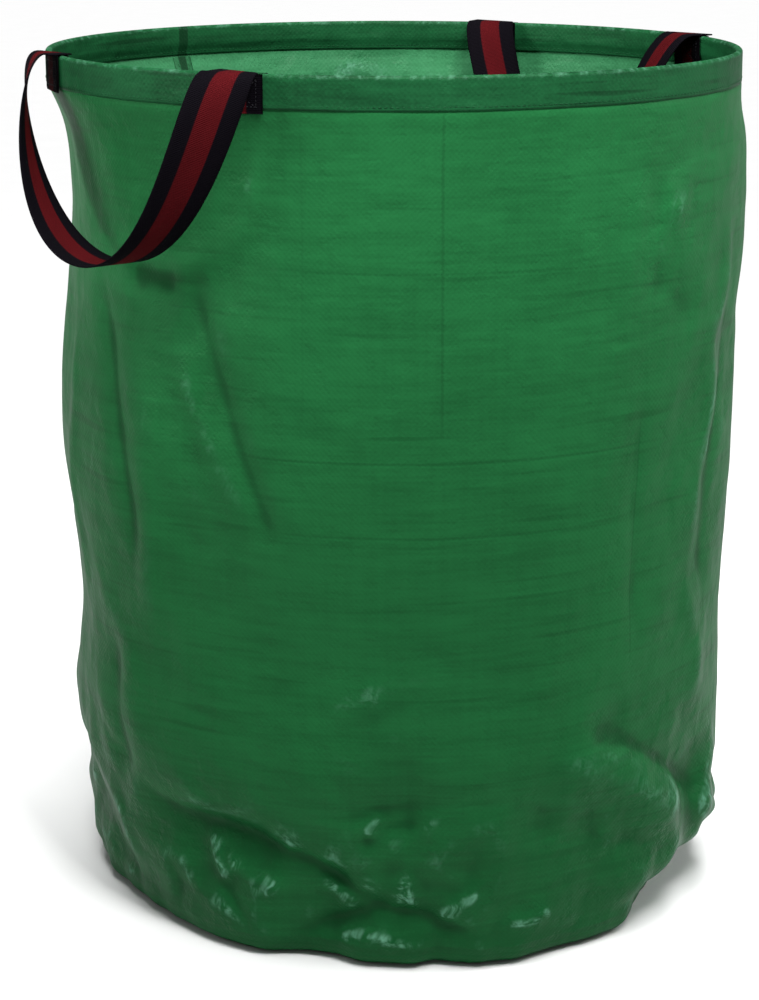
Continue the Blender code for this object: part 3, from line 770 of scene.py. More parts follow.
def woven_finish(name, colours, place, marks=(), crinkle=1.0, facing=1.0, wear_and_glint=0.62, seam_half=0.0):
    """Coated woven tapes: flat strands both ways, streaks along them, the crinkle of the film, and
    painted highlights on the ridges of its creases and painted shade in their hollows; on the wall,
    painted shade also darkens the cloth towards the bottom. facing is -1 for the inner face, and the
    argument after it sets how strong the painted highlights on the ridges are. seam_half, for the hem
    and the side tape, is half the width of a strip of painted shade along the seam at SEAM_ANGLE;
    these get a painted highlight along the top edge of the bag in place of their creases."""
    finish = Finish(name, Specular_IOR_Level=0.055)
    x, y = place(finish)
    crease = finish.node("ShaderNodeAttribute", {"attribute_name": "crease"}, (), 2) * facing
    slack = finish.node("ShaderNodeAttribute", {"attribute_name": "slack"}, (), 2)
    streaks = finish.noise(x * 17.0, y * 200.0, 0.0, 3.0, 0.6)
    bands = finish.noise(x * 6.0, y * 55.0, 7.0, 2.0)
    warp = finish.noise(x * 160.0, y * 9.0, 3.0, 2.0)
    grain = finish.noise(x * 330.0, y * 430.0, 21.0, 2.0)
    lines = finish.noise(x * 5.5, y * 110.0, 11.0, 1.0).smooth(0.60, 0.74)
    clouds = finish.noise(x * 9.0, y * 12.0, 17.0, 4.0)
    # Noise that breaks up the painted highlights
    glint_breakup = finish.noise(x * 115.0 + clouds * 9.0, y * 85.0 + clouds * 12.0, 27.0, 2.0, 0.6)
    strand = math.pi / WEAVE_PITCH
    over = (x * strand).maths("SINE") * (y * strand).maths("SINE")
    shade = streaks * 0.9 + bands * 0.7 + warp * 0.3 + clouds * 0.8 + grain * 0.45 - 1.15 + over * 0.05
    # Thin dark lines of the weave, and painted shade in the hollows of the creases
    shade = shade - lines * 0.30 - crease.smooth(0.0, -0.8) * 0.34
    ripple = finish.noise(x * 26.0, y * 34.0, 5.0, 5.0, 0.6)
    facet = finish.node("ShaderNodeTexVoronoi", {"feature": "SMOOTH_F1"},
                        {"Vector": finish.join(x * 42.0 + ripple * 1.5, y * 34.0, ripple * 2.0),
                         "Scale": 1.0, "Smoothness": 0.25})
    film = (ripple * 0.0026 + facet * 0.0017) * (slack * 1.1 + 0.75)
    height = over * 0.00010 + streaks * 0.00009 + grain * 0.00008 + film * crinkle
    if marks:
        painted_mark_shade = 0.0
        for mark in marks:
            painted_mark_shade = fold_mark(x, y, *mark) + painted_mark_shade
        # Painted shade along the packing marks, with a shallow valley in the bump
        shade = shade - painted_mark_shade * 0.34
        height = height - painted_mark_shade * 0.00030
    # Painted shade: the wall is darker towards the bottom
    if place is place_on_cloth:
        shade = shade - (1.0 - y.smooth(0.0, 0.26)) * 0.38
    if seam_half:
        edge = math.pi * RIM_RADIUS - seam_half
        # Painted shade: a dark strip along the seam
        painted_shade = abs(x).smooth(edge - 0.001, edge + 0.001) * 0.9
        # Painted highlight along the top edge of the bag
        painted_glint = y.smooth(BAG_HEIGHT - 0.0045, BAG_HEIGHT - 0.0012) * glint_breakup.smooth(0.42, 0.78) * 0.24
    else:
        # Painted shade in the hollows of the creases
        painted_shade = crease.smooth(-0.30, -1.0) * 0.34
        # Painted highlights on the crease ridges, strongest where the cloth is slack
        painted_glint = crease.smooth(0.16, 0.85) * glint_breakup.smooth(0.38, 0.74) * (slack * slack * wear_and_glint + 0.05)
    # The cloth's colour with painted shade, then painted highlights, laid over it
    cloth = finish.blend(painted_shade, finish.blend(shade.smooth(-0.18, 0.78), *colours), GREEN_SHADOW)
    finish.feed(Base_Color=finish.blend(painted_glint, cloth, PAINTED_HIGHLIGHT), Normal=finish.emboss(height, 0.6),
                Roughness=clouds * 0.16 + streaks * 0.14 + 0.40 - slack * 0.12)
    return finish


def webbing_finish():
    """Black webbing with a red middle stripe, ribbed across."""
    finish = Finish("striped webbing", Specular_IOR_Level=0.02)
    x, y = place_on_cloth(finish)
    rib = (y * (2 * math.pi / RIB_PITCH)).maths("SINE")
    twill = ((x + y) * (2 * math.pi / TWILL_PITCH)).maths("SINE")
    fuzz = finish.noise(x * 900.0, y * 900.0, 2.0, 2.0)
    wear_and_glint = finish.noise(x * 60.0, y * 25.0, 9.0, 3.0)
    edge = abs(x) + rib * 0.00022
    stripe = 1.0 - edge.smooth(RED_HALF - 0.0005, RED_HALF + 0.0005)
    red = finish.blend(fuzz * 0.7 + wear_and_glint * 0.5 - 0.1, *RED_WEBBING)
    black = finish.blend(fuzz * 0.8 + wear_and_glint * 0.3 - 0.1, *BLACK_WEBBING)
    finish.feed(Base_Color=finish.blend(stripe, black, red), Roughness=fuzz * 0.15 + 0.75,
                Normal=finish.emboss(rib * 0.00016 + twill * 0.00008 + fuzz * 0.00010, 0.8))
    return finish


def thread_finish(name, colours):
    """Twisted sewing thread."""
    finish = Finish(name, Specular_IOR_Level=0.08)
    x, y, z = finish.place()
    twist = finish.noise((x + z) * 2600.0, (y - z) * 2600.0, 1.0, 1.0)
    finish.feed(Base_Color=finish.blend(twist, *colours), Roughness=twist * 0.2 + 0.5,
                Normal=finish.emboss(twist * 0.00008, 0.6))
    return finish


def moulded_finish(name, colours, roughness):
    """Moulded plastic with a fine grain and a few drawn lines along it."""
    finish = Finish(name, Specular_IOR_Level=0.45)
    x, y, z = finish.place()
    grain = finish.noise(x * 700.0, y * 700.0, z * 700.0, 2.0)
    drawn = finish.noise(x * 3.0, y * 3.0, z * 900.0, 2.0)
    finish.feed(Base_Color=finish.blend(grain * 0.5 + drawn * 0.5, *colours),
                Roughness=drawn * 0.18 + grain * 0.10 + (roughness - 0.14),
                Normal=finish.emboss(grain * 0.00003 + drawn * 0.00004, 0.6))
    return finish


# Rows of stitches

def stitch_recipe():
    """Small rounded stitches at a pitch along a line."""
    recipe = Recipe("row of stitches", line="Geometry", pitch="Float", length="Float", thread="Float",
                    unevenness="Float", finish="Material")
    node, given = recipe.node, recipe.given
    line = node("GeometryNodeMeshToCurve", None, (given["line"],))
    spots = node("GeometryNodeCurveToPoints", {"mode": "LENGTH"}, {"Curve": line, "Length": given["pitch"]})
    bead = node("GeometryNodeMeshUVSphere", None, {"Segments": 6, "Rings": 5, "Radius": 0.5})
    size = node("ShaderNodeCombineXYZ", None, (given["length"], given["thread"], given["thread"]))
    shaped = node("GeometryNodeTransform", None, {"Geometry": bead, "Scale": size})
    facing = node("FunctionNodeAlignRotationToVector", {"axis": "X"},
                  {"Vector": spots.socket.node.outputs["Tangent"]})
    scale = node("FunctionNodeRandomValue", {"data_type": "FLOAT"},
                 {2: 1.0 - given["unevenness"], 3: 1.0, "Seed": 4}, output=1)
    laid = node("GeometryNodeInstanceOnPoints", None, {
        "Points": spots, "Instance": shaped, "Rotation": facing, "Scale": scale})
    return recipe.end(node("GeometryNodeRealizeInstances", None, (laid,)))


def line_object(name, lines):
    """Edges along each list of points; a closed line gives its first point again."""
    points, edges = [], []
    for line in lines:
        closed = (Vector(line[0]) - Vector(line[-1])).length < 1e-9
        kept = line[:-1] if closed else line
        first = len(points)
        points.extend(kept)
        edges.extend((first + i, first + i + 1) for i in range(len(kept) - 1))
        if closed:
            edges.append((first + len(kept) - 1, first))
    mesh = bpy.data.meshes.new(name)
    mesh.from_pydata([tuple(p) for p in points], edges, [])
    return add_object(name, mesh)


STITCHES = stitch_recipe()


def sew(name, lines, finish, sizes):
    """A piece made of the stitches along some lines."""
    piece = line_object(name, lines)
    pitch, length, thread = sizes
    STITCHES.run(piece, pitch=pitch, length=length, thread=thread, unevenness=UNEVENNESS,
                 finish=finish.material)
    return piece


# Swept bands: the hem and the binding of the base seam

def band_recipe():
    """A closed outline swept round the bag, with a slow ripple in and out."""
    recipe = Recipe("band round the bag", outline="Geometry", radius="Float", steps="Int", ripple="Float",
                    ripple_size="Float", still_above="Float", ripple_run="Float", finish="Material")
    node, given = recipe.node, recipe.given
    outline = node("GeometryNodeMeshToCurve", None, (given["outline"],))
    ring = node("GeometryNodeCurvePrimitiveCircle", None,
                {"Resolution": given["steps"], "Radius": given["radius"]})
    swept = node("GeometryNodeCurveToMesh", None, (ring, outline))
    position = node("GeometryNodeInputPosition")
    x, y, z = split(recipe.tree, position)
    flat = node("ShaderNodeCombineXYZ", None, (x, y, 0.0))
    outward = node("ShaderNodeVectorMath", {"operation": "NORMALIZE"}, (flat,))
    noise = node("ShaderNodeTexNoise", None,
                 {"Vector": position, "Scale": given["ripple_size"], "Detail": 2.0})
    share = node("ShaderNodeClamp", None, ((given["still_above"] - z) / given["ripple_run"], 0.0, 1.0))
    push = (noise - 0.5) * 2.0 * given["ripple"] * share
    offset = node("ShaderNodeVectorMath", {"operation": "SCALE"}, {0: outward, "Scale": push})
    return recipe.end(node("GeometryNodeSetPosition", None, {"Geometry": swept, "Offset": offset}))


BAND = band_recipe()


def face_outwards(piece):
    """Weld the mesh and turn all its faces out."""
    bm = bmesh.new()
    bm.from_mesh(piece.data)
    bmesh.ops.remove_doubles(bm, verts=bm.verts, dist=1e-6)
    bmesh.ops.recalc_face_normals(bm, faces=bm.faces)
    bm.to_mesh(piece.data)
    bm.free()
    piece.data.shade_smooth()


def arc(centre, radius, start, stop):
    """Points of an arc, in degrees."""
    turns = [math.radians(start + (stop - start) * k / ARC_STEPS) for k in range(ARC_STEPS + 1)]
    return [(centre[0] + radius * math.cos(t), centre[1] + radius * math.sin(t)) for t in turns]


def pinched(height):
    """How far the stitches draw the hem's inner leaf out to the wall at its foot."""
    return HEM_PINCH * float(1 - smoothstep(height, HEM_LOW.z + 0.001, HEM_LOW.z + PINCH_RUN))


def folded_outline(outer, inner, top, foot, leaf, edge_steps, pinch):
    """An upside-down U of cloth with a rounded top, as (radius, height)."""
    middle, half = (outer + inner) / 2, (outer - inner) / 2
    over = arc((middle, top - half), half, 0.0, 180.0)
    under = arc((middle, top - half), half - leaf, 180.0, 0.0)
    run = [foot + (top - half - foot) * k / edge_steps for k in range(edge_steps)]
    return ([(outer, z) for z in run] + over + [(inner + pinch(z), z) for z in reversed(run)]
            + [(inner + pinch(z) + leaf, z) for z in run] + under
            + [(outer - leaf, z) for z in reversed(run)])


def make_band(name, finish, sizes, edge_steps, pinch, ripple):
    """Cloth folded over an edge all round the bag, and its size laid flat. sizes is its outer and
    inner radius, top, foot and the thickness of a leaf. The outline is swept lying down, X out and Y
    down."""
    outer, inner, top, foot, leaf = sizes
    middle, half = (outer + inner) / 2, (outer - inner) / 2
    points = [(r - middle, -z, 0.0) for r, z in folded_outline(*sizes, edge_steps, pinch)]
    piece = line_object(name, [points + points[:1]])
    BAND.run(piece, radius=middle, steps=BAND_STEPS, **ripple, finish=finish.material)
    face_outwards(piece)
    return piece, (2 * math.pi * middle, 2 * (top - half - foot) + math.pi * (half - leaf / 2))


def make_hem(finish):
    """Hem folded over the hoop."""
    sizes = (RIM_RADIUS, HEM_INNER_RADIUS, BAG_HEIGHT, HEM_LOW.z, HEM_LEAF)
    piece, flat = make_band("hem", finish, sizes, 12, pinched, HEM_RIPPLE)
    dress(piece, "rim", "hem_band")


def make_binding(finish):
    """Tape folded over the raw edges of the base seam."""
    sizes = (BINDING_HIGH.x, BINDING_INNER_RADIUS, BINDING_HIGH.z, BINDING_LOW.z, CLOTH)
    piece, flat = make_band("base_binding", finish, sizes, 2, lambda height: 0.0, NO_RIPPLE)
    dress(piece, "bag", "base_seam_binding")


# The side wall and the base

def make_wall(shape, outer, inner):
    """One woven sheet, from inside the hem down, turned in at the toe and up at the base seam."""
    angles = shape.angles
    rows = list(zip(shape.radius, shape.heights))
    along = list(shape.heights)
    foot = shape.radius[-1]
    reach = np.minimum(TOE_RADIUS, foot - SEAM_RADIUS - TOE_CLEARANCE)
    for step in range(1, TOE_STEPS + 1):
        swing = step / TOE_STEPS * math.pi / 2
        inward = reach * (1 - math.cos(swing))
        rows.append((foot - inward, GAP + (TOE_RADIUS - GAP) * (1 - math.sin(swing))))
        along.append(TOE_RADIUS * (1 - swing))
    under = rows[-1][0]
    for share in (0.5, 1.0):
        rows.append((under + (SEAM_RADIUS - under) * share, GAP))
        along.append(along[-1] - UNDER_STEP)
    for height in (0.4 * SEAM_HEIGHT, SEAM_HEIGHT):
        rows.append((SEAM_RADIUS, height))
        along.append(along[-1] - SEAM_STEP)
    points = np.concatenate([ring(radius, np.radians(angles), height) for radius, height in rows])
    across = (np.append(angles, angles[0] + 360.0) - SEAM_ANGLE) / 360.0 * CIRCUMFERENCE
    places = [(across[i + right], along[j + down])
              for j in range(len(rows) - 1) for i in range(WALL_COLUMNS)
              for right, down in ((0, 0), (0, 1), (1, 1), (1, 0))]
    piece = make_piece("side_wall_cloth", points, grid_faces(len(rows), WALL_COLUMNS), (outer, inner),
                       places=places)
    for name, field in (("crease", shape.crease), ("slack", shape.slack)):
        rest = np.zeros(len(points) - field.size)
        values = np.concatenate([field.ravel(), rest]).astype(np.float32)
        piece.data.attributes.new(name, "FLOAT", "POINT").data.foreach_set("value", values)
    thicken(piece, CLOTH, 1)
    dress(piece, "bag", "side_wall", folds=True)


def base_height(x, y):
    """Soft creases of the base, which lies on the ground elsewhere."""
    rng = np.random.default_rng(31)
    height = np.zeros_like(x)
    for _ in range(BASE_CREASES):
        angle, reach = rng.uniform(0, math.pi), rng.uniform(0.03, 0.10)
        cx, cy = rng.uniform(-0.19, 0.19, 2)
        along = (x - cx) * math.cos(angle) + (y - cy) * math.sin(angle)
        across = (y - cy) * math.cos(angle) - (x - cx) * math.sin(angle)
        width = rng.uniform(0.006, 0.012)
        height += rng.uniform(0.2, 0.6) * np.exp(-np.abs(across) / width - (along / reach) ** 2)
    return np.clip(height, 0.0, 1.0) * BASE_CREASE_HEIGHT


def make_base(finish):
    """Round base, lightly creased, its edge turned up against the wall's edge."""
    edge = SEAM_RADIUS - GAP - CLOTH
    turn = np.radians(np.arange(BASE_COLUMNS) * 360.0 / BASE_COLUMNS)
    rows = [ring(edge, turn, height) for height in (SEAM_HEIGHT, 0.5 * SEAM_HEIGHT)]
    for k in range(BASE_RINGS):
        radius = edge * (1 - k / BASE_RINGS)
        calm = smoothstep(edge - radius, 0.0, BASE_CALM_EDGE)
        creases = base_height(radius * np.cos(turn), radius * np.sin(turn)) * calm
        rows.append(ring(radius, turn, CLOTH + creases))
    points = np.concatenate(rows + [np.array([[0.0, 0.0, CLOTH]])])
    faces = [face[::-1] for face in grid_faces(len(rows), BASE_COLUMNS)]
    last, centre = (len(rows) - 1) * BASE_COLUMNS, len(points) - 1
    faces += [(last + i, last + (i + 1) % BASE_COLUMNS, centre) for i in range(BASE_COLUMNS)]
    piece = make_piece("base_cloth", points, faces, (finish,))
    thicken(piece, CLOTH)
    dress(piece, "bag", "base_disc")


def make_side_tape(shape, finish):
    """Tape down the inside of the side seam."""
    heights = [TAPE_TOP] + [h for h in shape.heights if TAPE_LOW.z - 0.001 < h < TAPE_TOP]
    half = math.degrees(TAPE_WIDTH / 2 / RIM_RADIUS)
    points, spots = [], []
    for h in heights:
        for k in range(TAPE_STEPS + 1):
            a = SEAM_ANGLE - half + 2 * half * k / TAPE_STEPS
            crown = TAPE_CROWN * (1 - abs(2 * k / TAPE_STEPS - 1) ** 4)
            points.append(polar(shape.at(a, h) - CLOTH - 2 * GAP - crown, a, h))
            spots.append((k / TAPE_STEPS * TAPE_WIDTH, h))
    faces = turned_over(grid_faces(len(heights), TAPE_STEPS + 1, wraps=False))
    piece = make_piece("side_seam_tape_cloth", points, faces, (finish,), spots)
    thicken(piece, -TAPE_CLOTH, offset=1.0)
    dress(piece, "bag", "side_seam_tape", folds=True)


def sew_side_seam(shape, finish):
    """Two rows of stitches down the tape of the side seam."""
    heights = [h for h in shape.heights if TAPE_LOW.z + 0.002 < h < TAPE_HIGH.z - 0.002]
    spread = math.degrees(SIDE_ROW_SPACING / 2 / RIM_RADIUS)
    depth = CLOTH + 2 * GAP + TAPE_CROWN + TAPE_CLOTH
    for side, turn in (("left", -spread), ("right", spread)):
        angle = SEAM_ANGLE + turn
        line = [polar(shape.at(angle, h) - depth, angle, h) for h in heights]
        piece = sew(f"side_seam_stitches_{side}", [line], finish, SIDE_STITCHES)
        dress(piece, "bag", f"side_seam_thread_{side}", folds=True)


def sew_ring(name, radius, height, finish, body, node):
    """One row of stitches round the bag."""
    points = [polar(radius, 360.0 * k / RING_STEPS, height) for k in range(RING_STEPS)]
    piece = sew(name, [points + points[:1]], finish, RING_STITCHES)
    dress(piece, body, node)


def sew_hem(finish):
    """A row of stitches on each face of the hem."""
    height = HEM_LOW.z + HEM_STITCH_UP
    for face, radius in (("outer", RIM_RADIUS + CLEAR),
                         ("inner", HEM_INNER_RADIUS + pinched(height) - CLEAR)):
        sew_ring(f"hem_stitches_{face}", radius, height, finish, "rim", f"hem_thread_{face}")


# Handles

def leg_path(handle, end, way):
    """Points down one leg in the hinge's frame (out, along, up), each with its width direction."""
    leg, side = handle[end], handle["side"]
    spread = math.radians(HANDLE_HALF_SPAN)
    start = Vector((0.0, HEM_MID_RADIUS * math.sin(spread), 0.0))
    leg_out = Vector((math.cos(spread), side * math.sin(spread), 0.0))
    square = Vector((-side * math.sin(spread), math.cos(spread), 0.0))
    near = start + leg_out * (WEBBING_WIDTH / 2 * math.tan(spread) + FLAT_MARGIN)
    low = Vector((handle["out"], way * handle["aside"], -handle["drop"]))
    first_pull = near + leg_out * leg["pull_out"]
    last_pull = low + Vector((0.0, leg["pull_along"], 0.0))
    path = []
    for k in range(FLAT_STEPS):
        share = k / FLAT_STEPS
        path.append((start.lerp(near, share), Vector((0.0, 1.0, 0.0)).lerp(square, share), False))
    for k in range(LEG_STEPS + 1):
        t = k / LEG_STEPS
        point = (near * (1 - t) ** 3 + first_pull * 3 * t * (1 - t) ** 2
                 + last_pull * 3 * t * t * (1 - t) + low * t ** 3)
        turn = math.radians(90.0 - HANDLE_HALF_SPAN) * (1 - t ** leg["twist_power"])
        path.append((point, Vector((-side * math.cos(turn), math.sin(turn), 0.0)), k > 0))
    return path


def loop_sections(handle):
    """Middle, width direction and face direction at each step from one end of a loop to the other."""
    def across(v):
        return Vector((v.x, -v.y, v.z))

    down, up = leg_path(handle, "left", 1), leg_path(handle, "right", -1)
    path = down + [(across(point), across(width), free) for point, width, free in reversed(up[:-1])]
    sections = []
    for i, (point, width, free) in enumerate(path):
        ahead, behind = path[min(i + 1, len(path) - 1)][0], path[max(i - 1, 0)][0]
        travel = (ahead - behind).normalized()
        if free:
            width = (width - travel * width.dot(travel)).normalized()
        if sections and width.dot(sections[-1][1]) < 0:
            width = -width
        sections.append((point, width, width.cross(travel).normalized()))
    return sections


def strap_outline():
    """Points across the strap: place across, place through, with rounded selvedges."""
    half, thick = WEBBING_WIDTH / 2, WEBBING_THICKNESS / 2
    run = [-half + EDGE_ROUND + (2 * half - 2 * EDGE_ROUND) * k / ACROSS_STEPS
           for k in range(ACROSS_STEPS + 1)]
    return [(x, thick) for x in run] + [(half, 0.0)] + [(x, -thick) for x in reversed(run)] + [(-half, 0.0)]


def strap_mesh(name, sections, finish):
    """A strap through its sections, closed at both ends, with its place on the webbing mapped."""
    outline = strap_outline()
    count = len(outline)
    lengths = [0.0]
    for (a, _, _), (b, _, _) in zip(sections, sections[1:]):
        lengths.append(lengths[-1] + (b - a).length)
    points = [p + w * x + f * t for p, w, f in sections for x, t in outline]
    spots = [(x, length) for length in lengths for x, _ in outline]
    last = (len(sections) - 1) * count
    faces = turned_over(grid_faces(len(sections), count))
    faces += [tuple(range(count))[::-1], tuple(range(last, last + count))]
    piece = make_piece(name, points, faces, (finish,), spots)
    bm = bmesh.new()
    bm.from_mesh(piece.data)
    if bm.calc_volume(signed=True) < 0:
        bmesh.ops.reverse_faces(bm, faces=bm.faces)
        bm.to_mesh(piece.data)
    bm.free()
    return piece


def make_loop(handle, finish):
    """Free loop of one handle, between its sewn ends."""
    turn = math.radians(handle["angle"])
    reach = HEM_MID_RADIUS * math.cos(math.radians(HANDLE_HALF_SPAN))
    out = Vector((math.cos(turn), math.sin(turn), 0.0))
    along = Vector((-math.sin(turn), math.cos(turn), 0.0))
    hinge = out * reach + Vector((0.0, 0.0, BAG_HEIGHT + HINGE_LIFT))

    def placed(v):
        return out * (handle["side"] * v.x) + along * v.y + Vector((0.0, 0.0, v.z))

    sections = [(hinge + placed(p), placed(w), placed(f)) for p, w, f in loop_sections(handle)]
    piece = strap_mesh(handle["name"] + "_strap", sections, finish)
    dress(piece, handle["name"], handle["name"] + "_loop")


BOX_HALF_WIDTH = WEBBING_WIDTH / 2 - BOX_MARGIN
BOX_HALF_HEIGHT = TAB_HEIGHT / 2 - BOX_MARGIN


def on_tab(x, y, rise, angle, outside):
    """A place on a tab, from its middle across and up, and so far off the hem."""
    lie, way = (TAB_OUT, 1.0) if outside else (TAB_IN, -1.0)
    height = BAG_HEIGHT - TAB_HEIGHT / 2 + y
    draw = 0.0 if outside else TAB_PINCH * pinched(height)
    return polar(lie + draw + way * rise, angle + math.degrees(x / lie), height)


def box_distance(x, y):
    """Distance from a place on a tab to the nearest line of its crossed box of stitches."""
    slope = math.hypot(BOX_HALF_WIDTH, BOX_HALF_HEIGHT)
    beyond = max(abs(x) - BOX_HALF_WIDTH, abs(y) - BOX_HALF_HEIGHT)
    cross = min(abs(x * BOX_HALF_HEIGHT - y * BOX_HALF_WIDTH),
                abs(x * BOX_HALF_HEIGHT + y * BOX_HALF_WIDTH)) / slope
    return min(abs(beyond), cross if beyond < 0 else abs(beyond))


def tab_rise(x, y):
    """Height of the webbing's face: pulled down at the stitches and the edges."""
    pillow = 1 - math.exp(-(box_distance(x, y) / STITCH_REACH) ** 2)
    edge = min(WEBBING_WIDTH / 2 - abs(x), TAB_HEIGHT / 2 - abs(y))
    return (WEBBING_THICKNESS * (STITCHED_SHARE + (1 - STITCHED_SHARE) * pillow)
            * (EDGE_SHARE + (1 - EDGE_SHARE) * min(1.0, edge / EDGE_REACH)))


def make_tab(name, angle, outside, finish):
    """Square of webbing sewn on one face of the hem."""
    count = TAB_COLUMNS + 1
    points, spots = [], []
    for layer in (0, 1):
        for j in range(TAB_ROWS + 1):
            y = TAB_HEIGHT / 2 - TAB_HEIGHT * j / TAB_ROWS
            for i in range(count):
                x = -WEBBING_WIDTH / 2 + WEBBING_WIDTH * i / TAB_COLUMNS
                points.append(on_tab(x, y, tab_rise(x, y) * layer, angle, outside))
                spots.append((x, TAB_HEIGHT * j / TAB_ROWS))
    layer_size = count * (TAB_ROWS + 1)
    faces = []
    for face in grid_faces(TAB_ROWS + 1, count, wraps=False):
        faces += [tuple(corner + layer_size for corner in face), face[::-1]]
    rim = ([(0, i) for i in range(TAB_COLUMNS)] + [(j, TAB_COLUMNS) for j in range(TAB_ROWS)]
           + [(TAB_ROWS, i) for i in range(TAB_COLUMNS, 0, -1)] + [(j, 0) for j in range(TAB_ROWS, 0, -1)])
    for (j, i), (n, m) in zip(rim, rim[1:] + rim[:1]):
        a, b = j * count + i, n * count + m
        faces.append((a, b, b + layer_size, a + layer_size))
    if not outside:
        faces = [face[::-1] for face in faces]
    piece = make_piece(name + "_webbing", points, faces, (finish,), spots)
    dress(piece, "rim", name)


def box_lines(angle, outside):
    """The crossed box of stitches on one tab."""
    def run(a, b, steps=10):
        return [on_tab(a[0] + (b[0] - a[0]) * k / steps, a[1] + (b[1] - a[1]) * k / steps,
                       WEBBING_THICKNESS * STITCHED_SHARE + CLEAR, angle, outside)
                for k in range(steps + 1)]

    corners = [(BOX_HALF_WIDTH * right, BOX_HALF_HEIGHT * up)
               for right, up in ((-1, -1), (1, -1), (1, 1), (-1, 1))]
    box = []
    for a, b in zip(corners, corners[1:] + corners[:1]):
        box += run(a, b)[:-1]
    return [box + box[:1], run(corners[0], corners[2]), run(corners[1], corners[3])]


def make_handle(handle, webbing, thread):
    """One handle: its loop, and at each end two tabs and their stitches."""
    make_loop(handle, webbing)
    for end, turn in (("right", -HANDLE_HALF_SPAN), ("left", HANDLE_HALF_SPAN)):
        angle = handle["angle"] + turn
        for layer, outside in (("outer", True), ("inner", False)):
            make_tab(f"{handle['name']}_{layer}_tab_{end}", angle, outside, webbing)
            piece = sew(f"{handle['name']}_{layer}_stitches_{end}", box_lines(angle, outside), thread,
                        BOX_STITCHES)
            dress(piece, "rim", f"{handle['name']}_box_stitch_{end}" if outside else None)


def dress_node(node, finish):
    """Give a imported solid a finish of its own."""
    slots = frame["nodes"][node].data.materials
    slots.clear()
    slots.append(finish.material)


# Floor, light and camera

CAMERA_PLACE = (-1.6951, -1.8295, 1.019)
CAMERA_TURN = (75.4, 0.0, -42.5)
CAMERA_LENS = 91.55
VIEW_HEADING = 42.5
FLOOR_HALF = 90.0
SKY_STRENGTH = 0.20
# Area lights: name, power, place and aim from the camera's heading (right, away, up), size, spread
AREA_LIGHTS = (
    ("key", 6.8, (0.45, -1.15, 2.0), (0.04, 0.0, 0.72), 0.6, 60.0),
    ("mouth", 3.4, (-0.3, -1.2, 2.2), (-0.16, 0.33, 0.80), 0.3, 60.0),
    ("side", 2.8, (2.1, 0.1, 1.5), (0.0, 0.0, 0.45), 0.8, 60.0),
    ("left", 3.3, (-1.9, -0.7, 1.5), (-0.2, 0.0, 0.96), 0.8, 38.0),
)


def camera_side(right, away, up):
    """A place given from the camera's heading: right, away from the camera, and up."""
    a = math.radians(VIEW_HEADING)
    return Vector((right * math.cos(a) + away * math.sin(a), away * math.cos(a) - right * math.sin(a), up))


def make_floor():
    """Pale floor under the bag."""
    finish = Finish("pale floor", Roughness=0.85, Specular_IOR_Level=0.1)
    x, y = place_flat(finish)
    mottle = finish.noise(x * 9.0, y * 9.0, 0.0, 4.0)
    finish.feed(Base_Color=finish.blend(mottle, *FLOOR_WHITE))
    corners = [(FLOOR_HALF * x, FLOOR_HALF * y, 0.0) for x, y in ((-1, -1), (1, -1), (1, 1), (-1, 1))]
    make_piece("floor", corners, [(0, 1, 2, 3)], (finish,))


def add_light(name, kind, energy, place, aim, **settings):
    """A lamp at a place, aimed at another."""
    data = bpy.data.lights.new(name, kind)
    data.energy = energy
    for key, value in settings.items():
        setattr(data, key, value)
    light = add_object(name, data)
    light.location = place
    light.rotation_euler = (Vector(aim) - Vector(place)).to_track_quat("-Z", "Y").to_euler()


def light_scene():
    """Soft light from above and four area lights."""
    world = bpy.data.worlds.new("studio")
    world.use_nodes = True
    sky = world.node_tree.nodes["Background"]
    sky.inputs["Color"].default_value = (1.0, 1.0, 1.0, 1.0)
    sky.inputs["Strength"].default_value = SKY_STRENGTH
    bpy.context.scene.world = world
    add_light("overhead", "SUN", 3.0, (0.0, 0.0, 6.0), (0.0, 0.02, 0.0), angle=math.radians(30.0))
    for name, energy, place, aim, size, spread in AREA_LIGHTS:
        add_light(name, "AREA", energy, camera_side(*place), camera_side(*aim),
                  shape="SQUARE", size=size, spread=math.radians(spread))


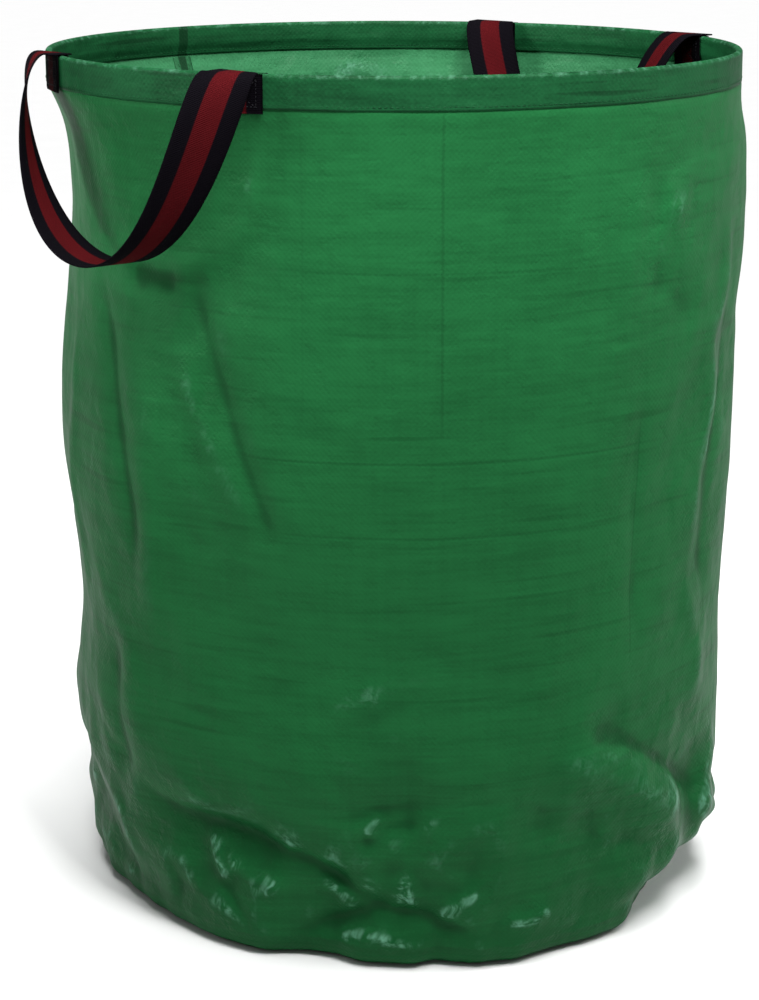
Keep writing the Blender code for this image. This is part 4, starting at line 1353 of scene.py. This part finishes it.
def make_camera():
    """Camera that sees the bag as the photograph does."""
    data = bpy.data.cameras.new("camera")
    data.lens = CAMERA_LENS
    data.sensor_width = 36.0
    data.clip_start, data.clip_end = 0.05, 300.0
    camera = add_object("camera", data)
    camera.location = CAMERA_PLACE
    camera.rotation_euler = [math.radians(a) for a in CAMERA_TURN]
    bpy.context.scene.camera = camera
    bpy.context.scene.view_settings.view_transform = "Standard"


def main():
    """Set the scene and make every piece."""
    make_camera()
    make_floor()
    light_scene()

    outer = woven_finish("woven green", GREEN_OUTER, place_on_cloth, FOLD_MARKS)
    # The inner face gets its lighter painted-light colour and stronger painted highlights on its ridges
    inner = woven_finish("woven green inside", GREEN_INNER_PAINTED_LIGHT, place_on_cloth, facing=-1.0, wear_and_glint=1.2)
    hem = woven_finish("woven green hem", GREEN_HEM, place_round_bag, crinkle=1.3, seam_half=0.006)
    base = woven_finish("woven green base", GREEN_OUTER, place_flat)
    tape = woven_finish("seam tape", GREEN_TAPE, place_round_bag, crinkle=0.3)
    side_tape = woven_finish("side seam tape", GREEN_SIDE_TAPE, place_round_bag, crinkle=0.3,
                             seam_half=0.0050)
    webbing = webbing_finish()
    green_thread = thread_finish("green sewing thread", GREEN_THREAD)
    inner_thread = thread_finish("inner sewing thread", GREEN_SIDE_TAPE)
    black_thread = thread_finish("black sewing thread", BLACK_THREAD)

    shape = WallShape()
    make_wall(shape, outer, inner)
    make_base(base)
    make_binding(tape)
    make_side_tape(shape, side_tape)
    sew_side_seam(shape, inner_thread)
    sew_ring("base_seam_stitches", BINDING_INNER_RADIUS - CLEAR, BINDING_HIGH.z - BASE_STITCH_DOWN,
             green_thread, "bag", "base_seam_thread")
    make_hem(hem)
    sew_hem(green_thread)
    dress_node("rim_hoop", moulded_finish("hoop plastic", HOOP_PLASTIC, 0.38))
    dress_node("hoop_joint_sleeve", moulded_finish("sleeve plastic", SLEEVE_PLASTIC, 0.50))
    for handle in (FRONT_HANDLE, BACK_HANDLE):
        make_handle(handle, webbing, black_thread)


main()
